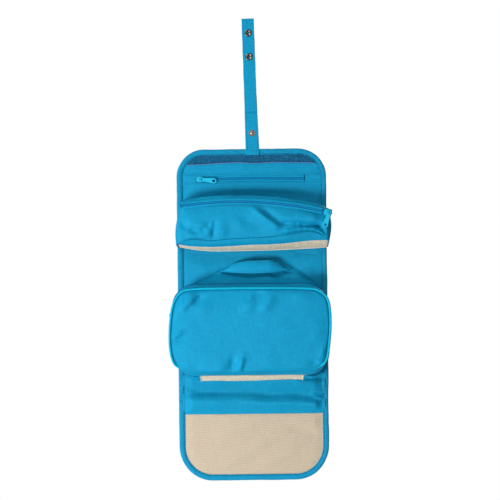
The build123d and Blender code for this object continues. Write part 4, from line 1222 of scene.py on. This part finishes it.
def make_hanger():
    """The strip of cloth that the pouch hangs from."""
    half = BODY_HALF - BINDING_WIDTH - 3
    x, drop = np.meshgrid(np.linspace(-half, half, 90), np.linspace(-1.5, -12, 10))
    z = arc_height(x, ARC_R + BACK_SEAM) + drop
    y = lining_depth(x, z) - 0.45 - 0.5 * smooth((-4 - drop) / 8)
    strip = cloth("pouch_hanger_cloth", xyz(x, y, z), PANEL_BLUE, 0.5, flat=True)
    bend(
        strip, ("top_section", "pouch_body"), (0, HANG_Z + 2), (0, HANG_Z - 4), "lining_fabric",
        "pouch_hanger_tape",
    )


def make_pouch_zip():
    """The arched zip: its upper half on the pouch, its lower half and its end on the front."""
    low, high = corners("pouch_tape_upper")
    left, split = low[0] + 9.0, high[0]  # the zip's first teeth are under the side seam
    tail = corners("pouch_zip_end")[1][0]
    centre = np.array([ARC_X, POUCH_ZIP_Y, ARC_Z])
    for piece, start, end, side, body, *nodes in (
        ("upper", left, split, 1.0, "pouch_body", "pouch_tape_upper", "pouch_coil_upper"),
        ("end_upper", split + 0.3, tail, 1.0, "pouch_mouth", "pouch_zip_end"),
        ("lower", left, split, -1.0, "pouch_mouth", "pouch_tape_lower", "pouch_coil_lower"),
        ("end_lower", split + 0.3, tail, -1.0, "pouch_mouth"),
    ):
        path = resample(arc_path(start, end, ARC_R, POUCH_ZIP_Y), RIB / 4)
        across = side * unit(path - centre)
        zip_half(f"pouch_zip_{piece}", path, across, FORWARDS, TAPE_EDGE, body, *nodes)
    for name, body, thread, end, radius, lift in (
        ("pouch_top_stitches", "pouch_body", THREAD_DARK, 120, ARC_R + 5.6, 1.45),
        ("pouch_front_stitches", "pouch_mouth", THREAD_BLUE, 118, ARC_R - 5.6, 1.6),
    ):
        row = flat_row(arc_path(left + 3, end, radius, POUCH_ZIP_Y - lift))
        fix(stitches(name, [row], thread, thread=0.22), body, "zip_tape")


# ------------------------------------------------------------------ box pouch
def rounded_loop(half, low, high, radii, shift=0.0):
    """Points round a rounded rectangle, clockwise from its upper left corner. radii: UL, UR, LR, LL."""
    ul, ur, lr, ll = radii

    def corner(x, z, radius, start):
        angle = np.radians(np.linspace(start, start - 90, CORNER_POINTS, endpoint=False))
        return np.stack([x + radius * np.cos(angle), z + radius * np.sin(angle)], -1)

    points = np.concatenate([
        np.linspace((-half + ul, high), (half - ur, high), LONG_POINTS, endpoint=False),
        corner(half - ur, high - ur, ur, 90),
        np.linspace((half, high - ur), (half, low + lr), SHORT_POINTS, endpoint=False),
        corner(half - lr, low + lr, lr, 0),
        np.linspace((half - lr, low), (-half + ll, low), LONG_POINTS, endpoint=False),
        corner(-half + ll, low + ll, ll, -90),
        np.linspace((-half, low + ll), (-half, high - ul), SHORT_POINTS, endpoint=False),
        corner(-half + ul, high - ul, ul, -180),
    ])
    return points + (shift, 0.0)


BOX_MIDDLE = np.array([0, BOX_ZIP_Y + 6, -384.0])
LONG_POINTS, CORNER_POINTS, SHORT_POINTS = 42, 15, 20  # round a loop: along its edges and corners
LOOP_BOTTOM = LONG_POINTS + SHORT_POINTS + 2 * CORNER_POINTS  # the first point of its lower edge


LID_EDGE = (  # the piping's outer edge, clockwise from the middle of the left side
    (-135.3, -392), (-134.5, -373), (-131.3, -348), (-126, -332), (-116, -319), (-100, -314.2),
    (-60, -313), (12, -313), (70, -313.8), (98, -315.5), (110, -320.5), (118.5, -328), (123.5, -340),
    (125.6, -360), (125.2, -385), (122.4, -412), (118.5, -431), (109, -443.5), (94, -448.6),
    (60, -451.4), (10, -452.8), (-32, -454.4), (-70, -453.4), (-98, -451.2), (-114, -447.4),
    (-126, -438.5), (-132.2, -425), (-134.8, -409),
)
EDGE_POINTS = 232


def closed_curve(knots, count):
    """A smooth closed curve through knots, as evenly spaced points."""
    a, b, c, d = (np.roll(np.array(knots, float), step, 0)[:, None] for step in (1, 0, -1, -2))
    t = np.linspace(0, 1, 16, endpoint=False)[None, :, None]
    points = 0.5 * (
        2 * b + (c - a) * t + (2 * a - 5 * b + 4 * c - d) * t**2 + (3 * b - a - 3 * c + d) * t**3
    )
    points = points.reshape(-1, 2)
    return around(points, np.linspace(0, 1, count, endpoint=False))


def around(loop, shares):
    """Points of a closed loop at some shares of the way round it."""
    loop = np.concatenate([loop, loop[:1]])
    at = distances(loop)
    return np.stack([np.interp(shares * at[-1], at, column) for column in loop.T], -1)


def grown(loop, out):
    """A closed clockwise loop moved outwards along its normals."""
    along = tangents(loop, closed=True)
    return loop + out * np.stack([-along[:, 1], along[:, 0]], -1)


def face_loop(out=0.0):
    """The lid's outline, out beyond the piping's outer edge."""
    return grown(closed_curve(LID_EDGE, EDGE_POINTS), out)


def matched(loop, other):
    """Points of a closed loop at the same share of the way round as each point of the other."""
    start = np.argmin(np.hypot(*(loop - other[0]).T))
    at = distances(np.concatenate([other, other[:1]]))
    return around(np.roll(loop, -start, 0), at[:-1] / at[-1])


ZIP_REACH = (-129.0, 121.5)  # the zip's line shows past the piping on the left only


def zip_loop(out=0.0):
    """The zip's outline round the box."""
    left, right = ZIP_REACH
    return rounded_loop(
        (right - left) / 2 + out, -455.5 - out, -309 + out, (36 + out,) * 4, (left + right) / 2
    )


def back_loop():
    """Where the box's wall meets the panel; its upper corners are pulled in almost straight."""
    x, z = rounded_loop(112, -470.4, -287.2, (34, 34, 30, 30)).T
    for (ax, az), (bx, bz) in (((-112.0, -317.0), (-54.0, -287.2)), ((112.0, -314.0), (72.0, -287.4))):
        inside = (x >= min(ax, bx)) & (x <= max(ax, bx)) & (z > -335)
        z = np.where(inside, np.minimum(az + (bz - az) * (x - ax) / (bx - ax), z), z)
    return np.stack([x, z], -1)


TOP_RIDGES = (  # on the box's upper wall, as seen from the front
    ((-70, -304), (40, -300), 5.0, 1.6), ((30, -296), (96, -306), 5.0, -1.8),
    ((-20, -298), (20, -306), 7.0, -1.4), ((50, -292), (60, -310), 6.0, 1.6),
    ((-84, -300), (-60, -312), 5.0, 1.4),
)


def wall_grid(start, start_y, end, end_y, rows, sag_top, bulge, sag_low, seed=81):
    """Cloth between two loops, bowed outwards, sagging along its top and bottom."""
    t = np.linspace(0, 1, rows)[:, None]
    x, z = np.moveaxis(start + (end - start) * t[..., None], -1, 0)
    y = start_y + (end_y - start_y) * t
    hump = np.sin(np.pi * t)
    middle = (z.max() + z.min()) / 2
    top, low = smooth((z - middle - 30) / 30), smooth((middle - 50 - z) / 25)
    sides = smooth((np.abs(x) - 96) / 20) * np.sign(x)
    x = x + sides * bulge * hump
    z = z - sag_top * hump * top - sag_low * hump * low
    soft = 0.6 * waves(x + z * 0.3, y * 3, 22, seed) * hump
    return xyz(x + soft * sides, y, z + soft * (top - low))


def make_box_wall():
    """The box's wall, its beige base with three hems, and the seam along its upper edge."""
    start = back_loop()
    full = wall_grid(start, LINING_Y - 0.3, zip_loop(), BOX_ZIP_Y + 6.4, 16, 2.2, 2.5, 1.0)
    relief = 0.8 * ridges(full[..., 0], full[..., 2], TOP_RIDGES) * smooth((full[..., 2] + 330) / 12)
    full[..., 2] += relief
    full[..., 1] -= relief
    first, last = LOOP_BOTTOM + 1, LOOP_BOTTOM + LONG_POINTS - 1  # columns of the beige base
    full[:, first : last + 1, 0] = np.linspace(80.5, -85.5, last + 1 - first)
    wall_columns = np.r_[last : full.shape[1], 0 : first + 1]
    wall = cloth("box_wall_cloth", full[:, wall_columns], FABRIC_BLUE, 0.9, None)
    fix(wall, "mid_section", "shell_fabric", "box_gusset")

    below = full[:, first : last + 1] - (0, 0, 0.4)
    base = cloth("box_base_cloth", below, BEIGE_TWILL, 0.9, None)
    fix(base, "mid_section", "beige_fabric", "box_base")
    for index, row in enumerate((below[0], below[:, 0], below[:, -1])):
        hem = tube(f"box_base_hem_{index}", resample(row, 1.5) - (0, 0, 0.3), 0.6, BEIGE_HEM)
        fix(hem, "mid_section", "beige_fabric")

    upper = start[np.r_[145 : len(start), 0:58]]  # from low on the left side over the top
    seam = xyz(upper[:, 0], LINING_Y - 0.9, upper[:, 1] + 0.6)
    seam = tube("box_wall_seam", resample(seam, 2.0), 1.1, BINDING_BLUE)
    points = resample(full[3][np.r_[150 : full.shape[1], 0:56]], 2.0)  # just inside the seam
    sewn = stitches("box_wall_stitches", [snap(points, wall, 0.1, (0, -0.3, 1))], THREAD_BLUE)
    for piece in (seam, sewn):
        fix(piece, "mid_section", "shell_fabric")


def outward_faces(piece):
    """Turns a piece's faces away from the middle of the box."""
    work = bmesh.new()
    work.from_mesh(piece.data)
    middle = Vector(metres(*BOX_MIDDLE))
    total = sum((f.calc_center_median() - middle).dot(f.normal) * f.calc_area() for f in work.faces)
    if total < 0:
        bmesh.ops.reverse_faces(work, faces=work.faces)
        work.to_mesh(piece.data)
    work.free()


def make_box_zip():
    """The zip round three sides of the box, which faces outwards, and the tabs at its ends."""
    loop = zip_loop(0.2)
    x, z = loop[np.r_[LOOP_BOTTOM + LONG_POINTS - 1 : len(loop), 0 : LOOP_BOTTOM + 2]].T
    path = resample(xyz(x, BOX_ZIP_Y, z), RIB / 4)
    out = unit(np.cross((0.0, 1.0, 0.0), tangents(path)))
    out = out * np.sign(((path - BOX_MIDDLE) * out).sum(1))[:, None]
    for name, side, body, *nodes in (
        ("wall", 1.0, "mid_section", "box_tape", "box_coil"),
        ("lid", -1.0, "box_lid", "lid_tape", "lid_coil"),
    ):
        zip_half(f"box_zip_{name}", path, (0.0, side, 0.0), out, 7.0, body, *nodes, round_box=True)

    back = corners("box_zip_tabs")[1][1] + 1.0
    u, v = np.meshgrid(np.linspace(0, 1, 18), np.linspace(0, 1, 14))
    y = back + (BOX_ZIP_Y + 1.0 - back) * v
    fold = 1.6 * np.sin(v * 7.0 + u * 4.0) + 0.9 * waves(u * 24, v * 24, 7, 86)
    for name, side, length, drop, *nodes in (
        ("left", -1.0, 14.0, 0.5, "box_zip_tabs"), ("right", 1.0, 20.0, 6.5)
    ):
        x = side * (82.0 + length * u) + 0.6 * waves(u * 20, v * 20, 6, 85)
        z = -457.0 - drop * np.sin(np.pi * (0.15 + 0.7 * u)) * (1 - 0.6 * v) + fold * u
        tab = cloth(f"box_zip_tab_{name}", xyz(x, y, z), FABRIC_BLUE, 0.8, (0, -0.5, -1))
        fix(tab, "mid_section", "zip_tape", *nodes)


FACE_RIDGES = (
    # upper left: the bright pinch below the corner and the shade beside it
    ((-120, -352), (-88, -322), 7.0, 4.2), ((-98, -342), (-76, -322), 6.0, -3.6),
    ((-108, -336), (-60, -350), 12.0, 2.2),
    # upper middle: two soft rolls that lean to the right
    ((-18, -362), (6, -328), 10.0, 2.8), ((10, -356), (38, -320), 9.0, 3.4),
    ((-4, -334), (22, -316), 7.0, -2.4), ((52, -326), (100, -332), 12.0, 1.8),
    # left edge: a short crease from the piping
    ((-130, -391), (-110, -383), 3.4, 3.0), ((-128, -399), (-106, -391), 5.0, -2.2),
    # bottom: the upright pinch left of the middle and the slack to its left
    ((-24, -452), (-16, -422), 6.0, 4.0, 0.45), ((-37, -450), (-28, -420), 7.0, -3.6),
    ((-98, -452), (-84, -430), 9.0, -2.4), ((-66, -448), (-40, -438), 9.0, 2.4),
    ((-4, -440), (50, -428), 14.0, 1.8),
    # lower right: slack above the corner
    ((84, -440), (110, -432), 7.0, -2.4), ((104, -430), (122, -408), 7.0, 3.0),
    ((70, -446), (100, -448), 5.0, 1.6),
)


def make_lid_face():
    """The lid's crowned, padded face."""
    outline = face_loop(-3.4)
    share = np.concatenate([np.linspace(0, 0.9, 34), [0.925, 0.945, 0.962, 0.976, 0.988, 1.0]])[:, None]
    way = np.arange(len(outline)) / (len(outline) / 2)
    spine_x = -66 + 120 * np.where(way <= 1, way, 2 - way)  # the rings of points close on this line
    spine = np.stack([spine_x, np.full(len(outline), -383.0)], -1)
    flat = spine + (outline - spine) * share[..., None]
    x, z = np.moveaxis(flat, -1, 0)
    relief = 1.25 * ridges(x, z, FACE_RIDGES) + 0.9 * waves(x, z, 40, 91) + 0.3 * waves(x, z, 17, 92)
    crown = 4.6 * (1 - share**5) ** 0.8
    tuck = 1.3 * bell(share, 1.0, 0.018)
    y = LID_FRONT + 0.4 - crown - relief * smooth((1 - share) / 0.10) + tuck
    uv = np.concatenate([flat, flat[:, :1]], 1)
    face = grid_piece("lid_face_cloth", xyz(x, y, z), FABRIC_BLUE, wrap=True, uv=uv)
    weld(face)
    outward_faces(face)
    thicken(face, 1.2)
    fix(face, "box_lid", "shell_fabric", "lid_face")
    return face


def make_lid_edge(face):
    """The lid's narrow wall, the piping in its front seam, the face's stitches, the beige hinge strip."""
    start = zip_loop(-0.2)
    end = matched(face_loop(-2.8), start)
    grid = wall_grid(start, BOX_ZIP_Y - 6.4, end, LID_FRONT + 0.6, 9, 0.6, 1.6, -0.4, seed=93)
    narrow = cloth("lid_wall_cloth", grid, FABRIC_BLUE, 0.9, None, wrap=True)
    fix(narrow, "box_lid", "shell_fabric", "lid_gusset")

    x, z = face_loop(-1.95).T
    under = smooth((-432 - z) / 14)  # the face rolls over the cord along the bottom
    z = z + 1.9 * under
    cord = xyz(x, LID_FRONT - 0.3 + 3.4 * under + 0.25 * waves(x, z, 24, 94), z)
    piping = tube("lid_piping_cord", cord, 1.95, PIPING_CYAN, sides=12, closed=True)
    fix(piping, "box_lid", "piping", "lid_piping")

    inner = face_loop(-5.8)
    path = xyz(inner[:, 0], LID_FRONT - 3, inner[:, 1])
    path = resample(np.concatenate([path, path[:1]]), 2.0)
    sewn = stitches("lid_stitches", [snap(path, face)], THREAD_BLUE, thread=0.24)
    fix(sewn, "box_lid", "shell_fabric")

    half = corners("lid_hinge_strip")[1][0]
    t = np.linspace(0, 1, 12)[:, None]
    x, y = np.linspace(-half, half, 60), BOX_ZIP_Y + 7.5 - 14.3 * t
    z = -455.9 - 0.7 * np.sin(np.pi * t) - 0.3 * waves(x, y, 15, 95)
    hinge = cloth("lid_hinge_cloth", xyz(x, y, z), BEIGE, 0.8, (0, 0, -1))
    bend(
        hinge, ("mid_section", "box_lid"), (BOX_ZIP_Y + 3, -460), (BOX_ZIP_Y - 3, -460),
        "beige_fabric", "lid_hinge_strip",
    )


HANDLE_REAR = (  # along x: height and depth of the grab handle's upper edge
    (-54, -288.0, -3.0), (-44, -283.2, -5.6), (-31, -276.6, -9.4), (-15, -272.6, -12.0),
    (10, -271.8, -12.6), (32, -272.0, -11.6), (43, -276.2, -9.0), (55, -284.2, -5.6), (62, -287.0, -3.0),
)
HANDLE_FRONT = (
    (-54, -289.2, -5.6), (-44, -289.8, -8.6), (-31, -290.6, -12.6), (-12, -291.6, -15.4),
    (10, -291.8, -16.0), (34, -290.6, -14.6), (46, -289.8, -11.2), (55, -287.8, -8.6), (62, -288.2, -5.6),
)


def make_handle():
    """The grab handle: a soft strap that arches over the box's upper wall, sewn down at both ends."""
    x = np.linspace(-53, 61, 90)
    rear, front = (
        xyz(x, curve(x, edge[:, [0, 2]]), curve(x, edge[:, [0, 1]]))
        for edge in (np.array(HANDLE_REAR), np.array(HANDLE_FRONT))
    )
    t = np.linspace(0, 1, 11)[:, None, None]
    grid = rear * (1 - t) + front * t
    grid[..., 1] -= 3.2 * np.sin(np.pi * t[..., 0])
    grid[..., 2] += 0.25 * waves(grid[..., 0], grid[..., 2], 16, 97)
    strap = cloth("box_handle_strap", grid, FABRIC_BLUE, 2.0)
    fix(strap, "mid_section", "strap_webbing", "box_handle")
    rows = [
        snap(resample(rear * (1 - share) + front * share, 2.0), strap) for share in (0.14, 0.86)
    ]
    sewn = stitches("box_handle_stitches", rows, THREAD_BLUE, thread=0.24)
    fix(sewn, "mid_section", "strap_webbing")


# ------------------------------------------------------------------ back of the bag
def make_hook_tape():
    """Hook tape on the flap's outer face."""
    low, high = corners("hook_tape")
    x, z = np.meshgrid(np.linspace(low[0], high[0], 90), np.linspace(low[2], high[2], 16))
    grid = xyz(x, shell_depth(x, z) + 0.75 + 0.15 * waves(x, z, 1.8, 98), z)
    tape = cloth("hook_pile", grid, HOOK_PILE, 0.9, BACKWARDS)
    fix(tape, "flap", "hook_fastener", "hook_tape")
    (left, _, bottom), (right, _, top) = low + 1.5, high - 1.5
    rim = ((left, bottom), (right, bottom), (right, top), (left, top), (left, bottom))
    points = resample([(x, SHELL_Y + 1.4, z) for x, z in rim], 2.0)
    sewn = stitches("hook_stitches", [snap(points, tape, towards=BACKWARDS)], THREAD_BLUE)
    fix(sewn, "flap", "hook_fastener")


# ------------------------------------------------------------------ metal that the frame keeps
def finish_metal():
    """Gives the CAD sliders, pullers and press studs their materials."""
    enamelled = [f"{place}_{part}" for place in ("top", "pouch", "lid") for part in ("slider", "puller")]
    for material, nodes in (
        (ENAMEL, enamelled), (NICKEL, ["snap_caps", "snap_stud", "snap_stud_rivet"]),
        (OLD_NICKEL, ["snap_sockets"]),
    ):
        for node in nodes:
            for slot in frame["nodes"][node].material_slots:
                slot.material = material


# ------------------------------------------------------------------ light, floor and camera
CAMERA_DISTANCE = 1700.0
CAMERA_X = -3.5
CAMERA_Z = -254.0
CAMERA_ROLL = 0.65
FLOOR_Z = -960.0
VIEW_HALF = 410.0  # half the view's width at the panel


def area_light(name, location, target, size, power):
    """A round soft lamp that points at a place; places are in metres."""
    lamp = bpy.data.lights.new(name, "AREA")
    lamp.shape = "DISK"
    lamp.size = size
    lamp.energy = power
    made = bpy.data.objects.new(name, lamp)
    made.location = location
    made.rotation_euler = (Vector(target) - made.location).to_track_quat("-Z", "Y").to_euler()
    bpy.context.scene.collection.objects.link(made)


def make_floor():
    """A pale round floor below the bag."""
    turn = np.linspace(0, 2 * np.pi, 96, endpoint=False)
    radii = np.linspace(0, 800, 12)[:, None]
    graph = Graph("studio_floor")
    speck = graph.noise(graph.place(), 0.02, 4.0)
    pale = graph.mix(speck, (0.80, 0.80, 0.80, 1), (0.86, 0.86, 0.86, 1))
    grid = xyz(radii * np.cos(turn), radii * np.sin(turn), FLOOR_Z)
    floor = grid_piece("floor", grid, graph.finish(Base_Color=pale, Roughness=0.9), wrap=True)
    weld(floor)


def make_lights():
    """Four soft lamps, and a surround that is white to the camera and dim as a light."""
    world = bpy.data.worlds.new("studio")
    bpy.context.scene.world = world
    world.use_nodes = True
    nodes, links = world.node_tree.nodes, world.node_tree.links
    light_path = nodes.new("ShaderNodeLightPath")
    strength = nodes.new("ShaderNodeMapRange")
    strength.inputs["To Min"].default_value = 0.18
    links.new(light_path.outputs["Is Camera Ray"], strength.inputs["Value"])
    nodes["Background"].inputs["Color"].default_value = (1, 1, 1, 1)
    links.new(strength.outputs[0], nodes["Background"].inputs["Strength"])

    area_light("key", (-1.2, -1.45, -0.95), (0, 0, -0.28), 0.7, 44)
    area_light("high", (-0.75, -1.25, 1.05), (0, 0, -0.25), 0.8, 16)
    area_light("fill", (1.5, -1.4, -0.1), (0, 0, -0.3), 1.0, 3)
    area_light("back", (0.6, 1.6, 0.6), (0, 0, -0.3), 1.2, 22)


def make_camera():
    """A long lens in front of the bag, rolled a little."""
    scene = bpy.context.scene
    scene.view_settings.view_transform = "Standard"
    camera = bpy.data.cameras.new("camera")
    camera.sensor_width = 36.0
    camera.lens = camera.sensor_width / 2 * CAMERA_DISTANCE / VIEW_HALF
    camera.clip_start, camera.clip_end = 0.05, 20
    made = bpy.data.objects.new("camera", camera)
    made.location = metres(CAMERA_X, -CAMERA_DISTANCE, CAMERA_Z)
    made.rotation_euler = (math.radians(90), math.radians(CAMERA_ROLL), 0)
    scene.collection.objects.link(made)
    scene.camera = made


make_floor()
make_lights()
make_camera()
make_linings()
make_shells()
make_bindings()
make_loop_tape()
make_flat_zip()
make_strap()
make_pouch_front()
make_pouch_base()
make_pouch_top()
make_hanger()
make_pouch_zip()
make_box_wall()
make_box_zip()
make_lid_edge(make_lid_face())
make_handle()
make_hook_tape()
finish_metal()
